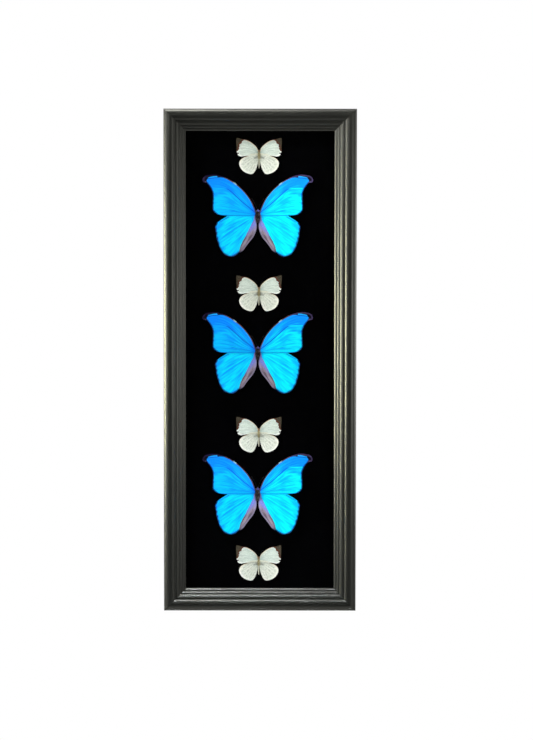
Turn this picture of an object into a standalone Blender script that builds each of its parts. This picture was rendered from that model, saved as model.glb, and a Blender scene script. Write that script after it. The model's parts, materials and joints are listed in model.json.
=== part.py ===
"""A shadow-box frame with seven spread butterflies, hung on a wall by a sawtooth hanger.

Metres, +Z up, +X to the viewer's right, and the glass faces -Y. The origin is the flat top of
the hanger's middle notch, where the frame bears on its wall nail.
"""

import math

import bmesh
import bpy
from mathutils import Matrix, Vector

MM = 0.001  # every size below is in millimetres, and is brought to metres where it is placed
GAP = 0.3  # between pieces that touch on the real object

# Driving dimensions of the frame
FRAME_WIDTH = 216.0
FRAME_HEIGHT = 564.0
FRAME_DEPTH = 40.0  # from the flat back to the crest of the outer roll
RAIL_WIDTH = 24.5
LIP_WIDTH = 6.0  # how far the front lip reaches over the glass
REBATE_DEPTH = 27.0  # from the flat back to the underside of the lip

# The stack inside the rebate, from the glass backwards
GLASS_THICKNESS = 2.0
SPACER_DEPTH = 13.8
SPACER_WIDTH = 3.0
BOARD_THICKNESS = 3.0
BACKING_THICKNESS = 3.0
REBATE_PLAY = 0.3  # round the edges of the glass and the boards

# The hanger and what holds the frame level on the wall
HANGER_DROP = 11.0  # from the frame's top edge to the notch
HANGER_LENGTH = 46.0
HANGER_HEIGHT = 8.5
HANGER_THICKNESS = 0.9
HANGER_BOW = 1.4  # how far the toothed middle stands off the wood
NOTCH_PITCH = 3.2
NOTCH_DEPTH = 2.2
NOTCH_COUNT = 9
NAIL_INSET = 4.0  # from the strip's end to its nail
NAIL_LENGTH = 12.0
NAIL_RADIUS = 0.7
BUMPER_RADIUS = 5.0
BUMPER_THICKNESS = 2.2
BUMPER_INSET = 11.0

# The thin steel points that hold the backing in
POINT_THICKNESS = 0.4
POINT_WIDTH = 6.0
POINT_IN_WOOD = 8.0
POINT_TAB = 6.5
SIDE_POINT_HEIGHTS = (-205.0, 0.0, 205.0)  # from the frame's middle

# The butterflies: heights above the frame's middle, and how their wings are held
BLUE_HEIGHTS = (163.9, 9.5, -150.6)
WHITE_HEIGHTS = (230.4, 76.1, -83.8, -229.9)
BLUE_OFFSET = -2.7
WHITE_OFFSET = -1.3
BLUE_LIFT = {"left": 8.0, "right": 5.0}  # degrees by which each wing rises from the board
WHITE_LIFT = {"left": 8.0, "right": 6.0}
WING_THICKNESS = 0.4
WING_STEP = 0.8  # a forewing lies this far in front of its hindwing
BODY_STEPS = 12

# Half of each animal, seen from the front: X away from the body, Y towards the head
BLUE_BODY = [
    (0.0, 6.4), (1.2, 6.1), (1.8, 5.2), (1.6, 4.2), (1.9, 3.4), (2.7, 1.8),
    (3.1, -0.6), (3.0, -3.2), (2.4, -5.8), (1.4, -8.0), (0.0, -9.1),
]
BLUE_FOREWING = {
    "leading": [
        (3.5, 3.9), (6.4, 12.7), (14.4, 24.3), (25.3, 34.3), (37.9, 41.4), (50.2, 44.2),
        (58.4, 43.0),
    ],
    "tip": [(62.2, 38.6), (60.8, 35.9)],
    "outer": [(56.9, 35.1), (52.0, 28.5), (50.3, 20.5), (50.7, 10.8), (50.2, 4.6)],
    "trailing": [(46.2, 0.8), (34.8, -1.0), (20.0, -1.2), (4.5, -1.4)],
}
BLUE_HINDWING = {
    "leading": [(3.9, -2.6), (8.0, 2.5), (17.0, 5.0), (27.0, 3.8), (34.1, -1.4), (46.4, -9.9)],
    "outer": [
        (47.9, -14.5), (46.6, -24.2), (43.7, -34.8), (39.8, -42.0), (34.4, -46.2),
        (29.0, -47.4), (22.8, -44.3), (20.6, -42.3),
    ],
    "inner": [
        (19.0, -42.4), (12.9, -35.4), (5.2, -25.8), (1.7, -17.6), (1.2, -11.5), (1.9, -8.2),
        (3.4, -5.6),
    ],
}
WHITE_BODY = [
    (0.0, 6.3), (0.8, 6.1), (1.15, 5.4), (0.9, 4.4), (1.3, 3.6), (1.7, 1.8), (1.7, -0.5),
    (1.3, -3.0), (1.0, -4.6), (0.9, -8.0), (0.8, -11.5), (0.5, -13.9), (0.0, -14.7),
]
WHITE_FOREWING = {
    "leading": [(1.9, 4.6), (3.2, 9.4), (8.4, 14.1), (14.5, 17.2), (20.0, 18.6)],
    "outer": [(25.3, 19.8), (25.6, 16.2), (25.2, 8.1), (24.3, 1.5), (22.5, -0.5)],
    "trailing": [(20.0, -1.3), (13.4, -0.2), (7.4, 0.3), (2.1, 1.0)],
}
WHITE_HINDWING = {
    "leading": [(2.1, -0.6), (6.0, 2.2), (11.5, 1.4), (16.9, -2.2), (21.4, -6.0)],
    "outer": [(22.3, -9.4), (20.7, -14.1), (15.5, -19.0), (9.1, -20.9)],
    "inner": [(6.9, -20.4), (3.6, -15.8), (1.9, -11.5), (1.5, -6.0), (1.7, -2.6)],
}

# Places worked out from the sizes above. Depths are counted forwards from the flat back.
WALL_CLEARANCE = HANGER_BOW + HANGER_THICKNESS / 2
BACK_Y = -WALL_CLEARANCE
MIDDLE_Z = HANGER_DROP - FRAME_HEIGHT / 2
REBATE_WALL = RAIL_WIDTH - LIP_WIDTH
REBATE_HALF_WIDTH = FRAME_WIDTH / 2 - REBATE_WALL
REBATE_HALF_HEIGHT = FRAME_HEIGHT / 2 - REBATE_WALL
PANE_HALF_WIDTH = REBATE_HALF_WIDTH - REBATE_PLAY
PANE_HALF_HEIGHT = REBATE_HALF_HEIGHT - REBATE_PLAY
GLASS_BACK = REBATE_DEPTH - GAP - GLASS_THICKNESS
SPACER_BACK = GLASS_BACK - GAP - SPACER_DEPTH
BOARD_FRONT = SPACER_BACK - GAP
BOARD_BACK = BOARD_FRONT - BOARD_THICKNESS
BACKING_FRONT = BOARD_BACK - GAP
BACKING_BACK = BACKING_FRONT - BACKING_THICKNESS
POINT_DEPTH = BACKING_BACK - GAP - POINT_THICKNESS / 2


def new_collection(name):
    collection = bpy.data.collections.new(name)
    bpy.context.scene.collection.children.link(collection)
    return collection


def paint(name, colour, roughness, metallic=0.0, **extra):
    """A Principled material; extra holds further input names with _ for each space."""
    material = bpy.data.materials.new(name)
    material.use_nodes = True
    shader = material.node_tree.nodes["Principled BSDF"]
    shader.inputs["Base Color"].default_value = (*colour, 1.0)
    shader.inputs["Roughness"].default_value = roughness
    shader.inputs["Metallic"].default_value = metallic
    for key, value in extra.items():
        shader.inputs[key.replace("_", " ")].default_value = value
    material.diffuse_color = (*colour, 1.0)
    return material


def add(name, data, material, collection, parent=None):
    """An object for this mesh or curve, in metres although its data is in millimetres."""
    item = bpy.data.objects.new(name, data)
    data.materials.clear()
    data.materials.append(material)
    collection.objects.link(item)
    item.parent = parent
    return item


def corner(name, place):
    """An empty that carries pieces; place is in millimetres."""
    empty = bpy.data.objects.new(name, None)
    empty.empty_display_size = 10 * MM
    empty.location = Vector(place) * MM
    PARTS.objects.link(empty)
    return empty


def at_depth(depth):
    """The Y of a plane this far in front of the frame's flat back."""
    return BACK_Y - depth


def smooth_outline(name, edges, half_thickness, resolution=2):
    """A filled curve through a closed run of edges, rounded along each and sharp between them.

    Each edge is a list of points, and starts where the one before it has ended.
    """
    curve = bpy.data.curves.new(name, "CURVE")
    curve.dimensions = "2D"
    curve.fill_mode = "BOTH"
    curve.resolution_u = resolution
    curve.render_resolution_u = 0
    curve.extrude = half_thickness * MM
    spline = curve.splines.new("BEZIER")
    spline.use_cyclic_u = True
    spline.bezier_points.add(sum(len(edge) for edge in edges) - 1)
    joined = [(point, place == 0) for edge in edges for place, point in enumerate(edge)]
    for knot, ((x, y), sharp) in zip(spline.bezier_points, joined):
        knot.co = (x * MM, y * MM, 0.0)
        knot.handle_left_type = knot.handle_right_type = "VECTOR" if sharp else "AUTO"
    return curve


def straight_outline(name, outlines, half_thickness):
    """A filled curve of straight sides; the outlines after the first are holes in it."""
    curve = bpy.data.curves.new(name, "CURVE")
    curve.dimensions = "2D"
    curve.fill_mode = "BOTH"
    curve.extrude = half_thickness * MM
    for outline in outlines:
        spline = curve.splines.new("POLY")
        spline.use_cyclic_u = True
        spline.points.add(len(outline) - 1)
        for knot, (x, y) in zip(spline.points, outline):
            knot.co = (x * MM, y * MM, 0.0, 1.0)
    return curve


def solid_mesh(name, curve):
    """The closed mesh of a filled curve, with its loose caps welded on."""
    guide = bpy.data.objects.new(name, curve)
    PARTS.objects.link(guide)
    bpy.context.view_layer.update()
    evaluated = guide.evaluated_get(bpy.context.evaluated_depsgraph_get())
    mesh = bpy.data.meshes.new_from_object(evaluated)
    bpy.data.objects.remove(guide)
    bpy.data.curves.remove(curve)
    shape = bmesh.new()
    shape.from_mesh(mesh)
    bmesh.ops.remove_doubles(shape, verts=shape.verts, dist=0.001 * MM)
    bmesh.ops.recalc_face_normals(shape, faces=shape.faces)
    shape.to_mesh(mesh)
    shape.free()
    mesh.name = name
    return mesh


def box_mesh(name, low, high):
    """A box between two corners given in millimetres."""
    shape = bmesh.new()
    middle = (Vector(low) + Vector(high)) * MM / 2
    size = (Vector(high) - Vector(low)) * MM
    place = Matrix.Translation(middle) @ Matrix.Diagonal((*size, 1.0))
    bmesh.ops.create_cube(shape, size=1.0, matrix=place)
    mesh = bpy.data.meshes.new(name)
    shape.to_mesh(mesh)
    shape.free()
    return mesh


def turned(name, profile, material, collection, parent=None):
    """A profile of radius and height pairs, top to bottom, turned about Z."""
    mesh = bpy.data.meshes.new(name)
    points = [(radius * MM, 0.0, height * MM) for radius, height in profile]
    mesh.from_pydata(points, [(i, i + 1) for i in range(len(points) - 1)], [])
    item = add(name, mesh, material, collection, parent)
    screw = item.modifiers.new("Turn", "SCREW")
    screw.steps = BODY_STEPS
    screw.render_steps = BODY_STEPS
    screw.use_merge_vertices = True
    screw.merge_threshold = 0.00001
    screw.use_smooth_shade = True
    return item


def as_cutter(item):
    item.hide_render = True
    item.display_type = "WIRE"
    return item


def cut(item, cutter):
    knife = item.modifiers.new("Cut", "BOOLEAN")
    knife.operation = "DIFFERENCE"
    knife.solver = "EXACT"
    knife.object = cutter


# --- The moulding -----------------------------------------------------------------------------


def moulding_edges():
    """The rail's section: X inwards from its outer face, Y forwards from its flat back."""
    top = FRAME_DEPTH
    return [
        [(REBATE_WALL, REBATE_DEPTH)],
        [(REBATE_WALL, 0.0)],
        [(0.0, 0.0)],
        [(0.0, top - 4.6)],
        [(0.4, top - 3.3), (1.4, top - 2.2), (3.0, top - 1.1), (7.2, top)],
        [(9.2, top - 0.3), (10.6, top - 0.8), (12.0, top - 1.8)],
        [(13.0, top - 3.3)],
        [(14.4, top - 3.5), (15.9, top - 4.1), (17.3, top - 5.0)],
        [(18.5, top - 6.6)],
        [(19.4, top - 6.8), (20.4, top - 7.4)],
        [(21.6, top - 9.0)],
        [(22.5, top - 9.2), (23.6, top - 9.9)],
        [(RAIL_WIDTH, top - 10.7)],
        [(RAIL_WIDTH, REBATE_DEPTH)],
    ]


def rail_mesh(name, length):
    """One length of moulding along Z, mitred at both ends so that its inner side is shorter."""
    curve = smooth_outline(name, moulding_edges(), length / 2, resolution=3)
    mesh = solid_mesh(name, curve)
    shape = bmesh.new()
    shape.from_mesh(mesh)
    for end in (1, -1):
        slope = Vector((1.0, 0.0, end)).normalized()
        start = Vector((0.0, 0.0, end * length / 2 * MM)) - slope * GAP / 2 * MM
        everything = shape.verts[:] + shape.edges[:] + shape.faces[:]
        found = bmesh.ops.bisect_plane(
            shape, geom=everything, plane_co=start, plane_no=slope, clear_outer=True
        )
        rim = [piece for piece in found["geom_cut"] if isinstance(piece, bmesh.types.BMEdge)]
        bmesh.ops.contextual_create(shape, geom=rim)
    bmesh.ops.recalc_face_normals(shape, faces=shape.faces)
    shape.to_mesh(mesh)
    shape.free()
    return mesh


def rails():
    """The four rails, by name. Each is the left one turned about the frame's middle."""
    made = {}
    sides = [("left", FRAME_WIDTH / 2, FRAME_HEIGHT, 0), ("top", FRAME_HEIGHT / 2, FRAME_WIDTH, 90)]
    sides += [(opposite, reach, length, turn + 180) for opposite, (_, reach, length, turn)
              in zip(("right", "bottom"), sides)]
    for side, reach, length, turn in sides:
        name = side + "_rail"
        item = add(name, rail_mesh(name, length), LACQUER, PARTS)
        angle = math.radians(turn)
        outwards = Vector((-math.cos(angle), 0.0, math.sin(angle)))
        item.rotation_euler = (math.pi, angle, 0.0)
        item.location = (Vector((0.0, BACK_Y, MIDDLE_Z)) + outwards * reach) * MM
        made[side] = item
    return made


# --- The framer's points ----------------------------------------------------------------------


def point_outline():
    """A blade lying across the rebate wall at X = 0, its tip in the wood on the minus side."""
    half = POINT_WIDTH / 2
    shoulder = POINT_IN_WOOD - half
    return [
        (-POINT_IN_WOOD, 0.0), (-shoulder, -half), (POINT_TAB - 1.5, -half),
        (POINT_TAB, -half + 1.5), (POINT_TAB, half - 1.5), (POINT_TAB - 1.5, half),
        (-shoulder, half),
    ]


def add_points(made):
    """Three points in each long rail and one in each short rail, with their slots."""
    places = [("left", height) for height in SIDE_POINT_HEIGHTS]
    places += [("right", height) for height in SIDE_POINT_HEIGHTS]
    places += [("top", 0.0), ("bottom", 0.0)]
    blade = solid_mesh("framers_point", straight_outline("blade", [point_outline()],
                                                         POINT_THICKNESS / 2))
    half_slot = POINT_WIDTH / 2 + GAP
    half_thick = POINT_THICKNESS / 2 + GAP
    slot = box_mesh("point_slot", (-POINT_IN_WOOD - GAP, -half_slot, -half_thick),
                    (1.0, half_slot, half_thick))
    turns = {"left": 0, "top": 90, "right": 180, "bottom": 270}
    reaches = {"left": REBATE_HALF_WIDTH, "right": REBATE_HALF_WIDTH,
               "top": REBATE_HALF_HEIGHT, "bottom": REBATE_HALF_HEIGHT}
    for number, (side, height) in enumerate(places, 1):
        angle = math.radians(turns[side])
        outwards = Vector((-math.cos(angle), 0.0, math.sin(angle)))
        middle = Vector((0.0, at_depth(POINT_DEPTH), MIDDLE_Z + height))
        where = (middle + outwards * reaches[side]) * MM
        point = add(f"framers_point_{number}", blade, STEEL, PARTS)
        cutter = as_cutter(add(f"point_slot_{number}", slot, STEEL, CUTTERS))
        for item in (point, cutter):
            item.rotation_euler = (math.pi / 2, angle, 0.0)
            item.location = where
        cut(made[side], cutter)


# --- Glass, spacers and boards ----------------------------------------------------------------


def pane(name, back, thickness, material):
    """A sheet that fills the rebate, its back face at this depth."""
    low = (-PANE_HALF_WIDTH, at_depth(back + thickness), MIDDLE_Z - PANE_HALF_HEIGHT)
    high = (PANE_HALF_WIDTH, at_depth(back), MIDDLE_Z + PANE_HALF_HEIGHT)
    return add(name, box_mesh(name, low, high), material, PARTS)


def spacers():
    """Strips round the edge that hold the glass off the display board."""
    inner = PANE_HALF_WIDTH - SPACER_WIDTH
    shelf = PANE_HALF_HEIGHT - SPACER_WIDTH
    spans = {
        "left": (-PANE_HALF_WIDTH, -inner, -PANE_HALF_HEIGHT, PANE_HALF_HEIGHT),
        "right": (inner, PANE_HALF_WIDTH, -PANE_HALF_HEIGHT, PANE_HALF_HEIGHT),
        "top": (-inner + GAP, inner - GAP, shelf, PANE_HALF_HEIGHT),
        "bottom": (-inner + GAP, inner - GAP, -PANE_HALF_HEIGHT, -shelf),
    }
    for side, (left, right, low, high) in spans.items():
        name = side + "_spacer"
        start = (left, at_depth(SPACER_BACK + SPACER_DEPTH), MIDDLE_Z + low)
        end = (right, at_depth(SPACER_BACK), MIDDLE_Z + high)
        add(name, box_mesh(name, start, end), SPACER_BLACK, PARTS)


# --- The hanger, its nails and the bumpers ----------------------------------------------------


def hanger_section():
    """The strip seen from above: flat feet on the wood, and a middle bowed off it."""
    foot = 2 * NAIL_INSET
    slope = 3.0
    half = HANGER_LENGTH / 2
    near = [(-half, GAP), (-half + foot, GAP), (-half + foot + slope, HANGER_BOW)]
    near += [(-x, y) for x, y in reversed(near)]
    far = [(x, y + HANGER_THICKNESS) for x, y in reversed(near)]
    return near + far


def notch_comb():
    """What is stamped out of the strip's lower edge: a comb of notches with flat tops."""
    comb = [(HANGER_LENGTH, -2 * HANGER_HEIGHT), (-HANGER_LENGTH, -2 * HANGER_HEIGHT)]
    comb.append((-HANGER_LENGTH, -NOTCH_DEPTH))
    first = -(NOTCH_COUNT - 1) / 2 * NOTCH_PITCH
    for number in range(NOTCH_COUNT):
        x = first + number * NOTCH_PITCH
        comb += [(x - 1.3, -NOTCH_DEPTH), (x - 0.5, 0.0), (x + 0.5, 0.0), (x + 1.3, -NOTCH_DEPTH)]
    comb.append((HANGER_LENGTH, -NOTCH_DEPTH))
    return comb


def hanger(top_rail):
    """A bent steel strip with stamped notches, nailed to the back of the top rail."""
    section = straight_outline("hanger_section", [hanger_section()], HANGER_HEIGHT / 2)
    strip = add("sawtooth_hanger", solid_mesh("sawtooth_hanger", section), STEEL, PARTS)
    strip.location = Vector((0.0, BACK_Y, HANGER_HEIGHT / 2 - NOTCH_DEPTH)) * MM

    comb = straight_outline("notch_comb", [notch_comb()], 2 * HANGER_BOW)
    notches = as_cutter(add("notches", solid_mesh("notches", comb), STEEL, CUTTERS))
    notches.rotation_euler = (math.pi / 2, 0.0, 0.0)
    cut(strip, notches)

    height = HANGER_HEIGHT / 2 - NOTCH_DEPTH / 2
    for side, x in (("left", -1), ("right", 1)):
        place = Vector((x * (HANGER_LENGTH / 2 - NAIL_INSET), BACK_Y, height)) * MM
        head = GAP + HANGER_THICKNESS + GAP
        profile = [
            (0.0, head + 0.7), (1.1, head + 0.6), (1.7, head + 0.2), (1.7, head),
            (NAIL_RADIUS, head), (NAIL_RADIUS, 1.5 - NAIL_LENGTH), (0.0, -NAIL_LENGTH),
        ]
        nail = turned(f"{side}_hanger_nail", profile, STEEL, PARTS)
        bore = [(0.0, 4.0), (NAIL_RADIUS + GAP, 4.0), (NAIL_RADIUS + GAP, -NAIL_LENGTH - GAP),
                (0.0, -NAIL_LENGTH - GAP)]
        drill = as_cutter(turned(f"{side}_nail_bore", bore, STEEL, CUTTERS))
        for item in (nail, drill):
            item.rotation_euler = (-math.pi / 2, 0.0, 0.0)
            item.location = place
        cut(strip, drill)
        cut(top_rail, drill)


def bumpers():
    """Two soft discs that keep the bottom corners off the wall."""
    for side, x in (("left", -1), ("right", 1)):
        profile = [
            (0.0, GAP + BUMPER_THICKNESS), (BUMPER_RADIUS - 1.4, GAP + BUMPER_THICKNESS),
            (BUMPER_RADIUS - 0.4, GAP + BUMPER_THICKNESS - 0.7), (BUMPER_RADIUS, GAP), (0.0, GAP),
        ]
        disc = turned(f"{side}_wall_bumper", profile, RUBBER, PARTS)
        disc.rotation_euler = (-math.pi / 2, 0.0, 0.0)
        across = FRAME_WIDTH / 2 - BUMPER_INSET
        down = MIDDLE_Z - FRAME_HEIGHT / 2 + BUMPER_INSET
        disc.location = Vector((x * across, BACK_Y, down)) * MM


# --- The butterflies --------------------------------------------------------------------------


def wing(name, outline, side, lift, forward, material, perch):
    """One flat wing that rises from the body towards the glass by lift degrees."""
    outwards = 1 if side == "right" else -1
    rise = math.radians(lift)
    edges = [[(outwards * x / math.cos(rise), y) for x, y in edge] for edge in outline.values()]
    curve = smooth_outline(name, edges, WING_THICKNESS / 2)
    item = add(name, curve, material, PARTS, perch)
    item.rotation_euler = (math.pi / 2, 0.0, -outwards * rise)
    item.location = Vector((0.0, -forward, 0.0)) * MM


def butterfly(name, place, body, forewing, hindwing, lifts, colours):
    """A spread specimen on its perch: the empty at the middle of its thorax."""
    thorax = max(radius for radius, _ in body)
    depth = BOARD_FRONT + GAP + thorax
    perch = corner(name, (place[0], at_depth(depth), MIDDLE_Z + place[1]))
    turned(name + "_body", body, colours["body"], PARTS, perch)
    for side in ("left", "right"):
        lift = lifts[side]
        wing(f"{name}_{side}_forewing", forewing, side, lift, WING_STEP / 2, colours["wing"], perch)
        wing(f"{name}_{side}_hindwing", hindwing, side, lift, -WING_STEP / 2, colours["wing"],
             perch)


for old in list(bpy.data.objects):
    bpy.data.objects.remove(old)

PARTS = new_collection("framed_butterflies")
CUTTERS = new_collection("cutters")

LACQUER = paint("black_lacquer", (0.014, 0.015, 0.013), 0.35)
GLASS = paint("picture_glass", (0.96, 1.0, 0.98), 0.02, Transmission_Weight=1.0, IOR=1.5)
SPACER_BLACK = paint("spacer_black", (0.010, 0.010, 0.010), 0.8)
VELVET_BLACK = paint("velvet_black", (0.003, 0.003, 0.003), 0.95)
HARDBOARD = paint("hardboard", (0.22, 0.12, 0.06), 0.75)
STEEL = paint("plated_steel", (0.60, 0.60, 0.58), 0.35, 1.0)
RUBBER = paint("bumper_rubber", (0.05, 0.05, 0.05), 0.7)
BLUE = {
    "wing": paint("blue_wing", (0.0, 0.30, 0.90), 0.4, 0.3),
    "body": paint("blue_butterfly_body", (0.05, 0.035, 0.03), 0.85),
}
WHITE = {
    "wing": paint("white_wing", (0.72, 0.76, 0.69), 0.75),
    "body": paint("white_butterfly_body", (0.35, 0.30, 0.16), 0.85),
}

RAILS = rails()
add_points(RAILS)
pane("glass_pane", GLASS_BACK, GLASS_THICKNESS, GLASS)
spacers()
pane("display_board", BOARD_BACK, BOARD_THICKNESS, VELVET_BLACK)
pane("backing_board", BACKING_BACK, BACKING_THICKNESS, HARDBOARD)
hanger(RAILS["top"])
bumpers()
for count, height in enumerate(BLUE_HEIGHTS, 1):
    butterfly(f"blue_butterfly_{count}", (BLUE_OFFSET, height), BLUE_BODY, BLUE_FOREWING,
              BLUE_HINDWING, BLUE_LIFT, BLUE)
for count, height in enumerate(WHITE_HEIGHTS, 1):
    butterfly(f"white_butterfly_{count}", (WHITE_OFFSET, height), WHITE_BODY, WHITE_FOREWING,
              WHITE_HINDWING, WHITE_LIFT, WHITE)
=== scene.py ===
# %% [markdown]
# # Spread butterflies in a shadow-box frame
# Three large blue butterflies and four small white ones lie one above the other on a black
# velvet board, behind glass, in a tall black frame that hangs on a wall.
# The solids that carry it all are loaded first, as a fixed frame. Every finished piece below
# takes its place from them and stands for one of them.

# %% Load the frame
import json
import math

import bpy
import numpy as np
from mathutils import Matrix, Vector

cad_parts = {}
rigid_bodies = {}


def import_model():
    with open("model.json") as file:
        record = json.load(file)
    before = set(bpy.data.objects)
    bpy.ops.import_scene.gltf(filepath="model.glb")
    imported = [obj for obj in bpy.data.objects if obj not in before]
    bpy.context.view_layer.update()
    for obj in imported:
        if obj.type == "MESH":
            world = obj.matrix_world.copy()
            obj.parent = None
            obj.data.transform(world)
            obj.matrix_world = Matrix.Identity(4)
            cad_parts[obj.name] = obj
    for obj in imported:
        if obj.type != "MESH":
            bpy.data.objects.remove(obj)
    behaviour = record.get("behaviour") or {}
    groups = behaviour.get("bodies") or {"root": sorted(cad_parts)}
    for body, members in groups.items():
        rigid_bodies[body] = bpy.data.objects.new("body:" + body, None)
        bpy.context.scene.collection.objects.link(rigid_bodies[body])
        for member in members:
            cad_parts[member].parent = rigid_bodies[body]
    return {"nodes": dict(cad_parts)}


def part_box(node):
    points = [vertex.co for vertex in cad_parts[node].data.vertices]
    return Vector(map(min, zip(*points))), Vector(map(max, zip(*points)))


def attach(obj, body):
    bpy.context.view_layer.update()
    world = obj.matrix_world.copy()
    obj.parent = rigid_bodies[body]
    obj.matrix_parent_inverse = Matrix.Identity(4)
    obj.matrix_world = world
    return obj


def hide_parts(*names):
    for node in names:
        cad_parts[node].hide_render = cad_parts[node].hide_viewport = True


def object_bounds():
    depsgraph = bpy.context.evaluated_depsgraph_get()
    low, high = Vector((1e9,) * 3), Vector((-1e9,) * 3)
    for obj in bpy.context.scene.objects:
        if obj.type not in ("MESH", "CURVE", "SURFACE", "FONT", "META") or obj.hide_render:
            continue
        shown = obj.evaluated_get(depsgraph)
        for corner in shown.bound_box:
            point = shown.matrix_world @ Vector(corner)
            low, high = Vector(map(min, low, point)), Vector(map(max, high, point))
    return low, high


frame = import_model()
cad_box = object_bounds()

MM = 0.001
frame_low, frame_high = cad_box
rail_low, rail_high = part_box("left_rail")
flat_back = rail_high.y
front = rail_low.y
middle = Vector((0.0, flat_back, (frame_low.z + frame_high.z) / 2))
print("frame", [round(side / MM, 1) for side in frame_high - frame_low], "mm")

# %% [markdown]
# ## The camera
# The frame is looked at from straight ahead, a long way off, so that its sides stay parallel.
# The camera stands a touch high and leans a touch, which makes the top a hair wider than the
# bottom. The focal length follows from how wide the view is at the frame's face.

# %% Camera
STAND_OFF = 3.0
VIEW_WIDTH = 0.599
LOOK_DOWN = math.radians(3.6)
LEAN = math.radians(0.06)
AIM_RIGHT, AIM_BEHIND_FACE, AIM_DROP = 7.3 * MM, 10 * MM, 10.3 * MM
aim = Vector((AIM_RIGHT, front + AIM_BEHIND_FACE, middle.z - AIM_DROP))

lens = bpy.data.cameras.new("camera")
lens.sensor_fit = "HORIZONTAL"
lens.sensor_width = 36.0
lens.lens = lens.sensor_width * STAND_OFF / VIEW_WIDTH
lens.clip_start = 0.05
camera = bpy.data.objects.new("camera", lens)
bpy.context.scene.collection.objects.link(camera)
stand = aim + Vector((0.0, -math.cos(LOOK_DOWN), math.sin(LOOK_DOWN))) * STAND_OFF
turn = Matrix.Rotation(math.pi / 2 - LOOK_DOWN, 4, "X") @ Matrix.Rotation(LEAN, 4, "Z")
camera.matrix_world = Matrix.Translation(stand) @ turn
bpy.context.scene.camera = camera
print("focal length", round(lens.lens, 1), "mm")

# %% [markdown]
# ## Light
# Glass is a mirror for whatever stands in front of it, so the space behind the camera is kept
# dark and the lamps stand well to the side. A large lamp at the upper left is the brightest:
# it draws the long highlights on the mouldings that face it.
# The last three lamps are smaller and have a grid in front, which narrows the beam. Each
# lights one rail and little else: the top one, the bottom one and the right one.

# %% Lamps
scene = bpy.context.scene
scene.view_settings.view_transform = "Standard"
LAMP_DISTANCE = 1.4
LARGE, SMALL, SMALLEST = 0.45, 0.30, 0.28
OPEN = 180.0
WHITE, COOL, WARM = (1.0, 1.0, 1.0), (0.82, 0.88, 1.0), (1.0, 0.98, 0.55)


def softbox(name, azimuth, elevation, power, size=LARGE, aim_up=0.0, spread=OPEN, colour=WHITE):
    """A square lamp turned towards the frame; angles in degrees from straight in front.

    It is aimed at the frame's middle, or aim_up metres above that. A grid narrows its spread.
    """
    lamp = bpy.data.lights.new(name, "AREA")
    lamp.shape = "SQUARE"
    lamp.color = colour
    lamp.size = size
    lamp.energy = power
    lamp.spread = math.radians(spread)
    holder = bpy.data.objects.new(name, lamp)
    scene.collection.objects.link(holder)
    across, above = math.radians(azimuth), math.radians(elevation)
    away = Vector((math.sin(across) * math.cos(above), -math.cos(across) * math.cos(above),
                   math.sin(above)))
    holder.location = middle + away * LAMP_DISTANCE
    beam = Vector((0.0, 0.0, aim_up)) - away * LAMP_DISTANCE
    holder.rotation_euler = beam.to_track_quat("-Z", "Y").to_euler()


for name, azimuth, elevation, watts in (
    ("overhead", -45, 75, 15.0),
    ("key", -28, 25, 2.4),
    ("low_right", 50, -30, 0.8),
    ("left_near", -60, 0, 4.8),
    ("left_far", -80, 0, 11.0),
    ("left_behind", -112, 0, 2.5),
    ("right_near", 40, 0, 3.9),
    ("right_far", 80, 0, 2.3),
    ("right_behind", 97, 0, 6.0),
):
    softbox(name, azimuth, elevation, watts)
softbox("top_spot", -52, 42, 0.46, SMALL, aim_up=0.38, spread=12)
softbox("sill", -25, 52, 0.33, SMALL, aim_up=-0.48, spread=8, colour=COOL)
softbox("jamb", -86, 0, 0.40, SMALLEST, spread=20, colour=WARM)

# %% [markdown]
# ### What surrounds the frame
# The camera sees a white wall, but the frame is lit by something else: a room that is dark in
# front of the frame and fades to white behind it. A light path node tells the two apart.

# %% Surroundings
ROOM_STRENGTH = 0.60
FADE_START, FADE_END = 0.10, 0.60  # as the direction turns from the front to the back
DARK_ROOM, WHITE_WALL = 0.004, 1.0

world = bpy.data.worlds.new("studio")
scene.world = world
world.use_nodes = True
sky = world.node_tree
sky.nodes.clear()
seen = sky.nodes.new("ShaderNodeBackground")
seen.inputs["Color"].default_value = (1.0, 1.0, 1.0, 1.0)
around = sky.nodes.new("ShaderNodeBackground")
around.inputs["Strength"].default_value = ROOM_STRENGTH
direction = sky.nodes.new("ShaderNodeTexCoord")
parts = sky.nodes.new("ShaderNodeSeparateXYZ")
fade = sky.nodes.new("ShaderNodeMapRange")
fade.interpolation_type = "SMOOTHSTEP"
for socket, value in zip(fade.inputs[1:5], (FADE_START, FADE_END, DARK_ROOM, WHITE_WALL)):
    socket.default_value = value
ray = sky.nodes.new("ShaderNodeLightPath")
either = sky.nodes.new("ShaderNodeMixShader")
out = sky.nodes.new("ShaderNodeOutputWorld")
for start, end in (
    (direction.outputs["Generated"], parts.inputs[0]),
    (parts.outputs["Y"], fade.inputs[0]),
    (fade.outputs[0], around.inputs["Color"]),
    (ray.outputs["Is Camera Ray"], either.inputs[0]),
    (around.outputs[0], either.inputs[1]),
    (seen.outputs[0], either.inputs[2]),
    (either.outputs[0], out.inputs[0]),
):
    sky.links.new(start, end)
print("surroundings", len(sky.nodes), "nodes")

# %% [markdown]
# ## A shorthand for shader nodes
# A finish is worked out by arithmetic on masks and distances. The class below wraps a node's
# output, so that the arithmetic can be written as such.


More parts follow.
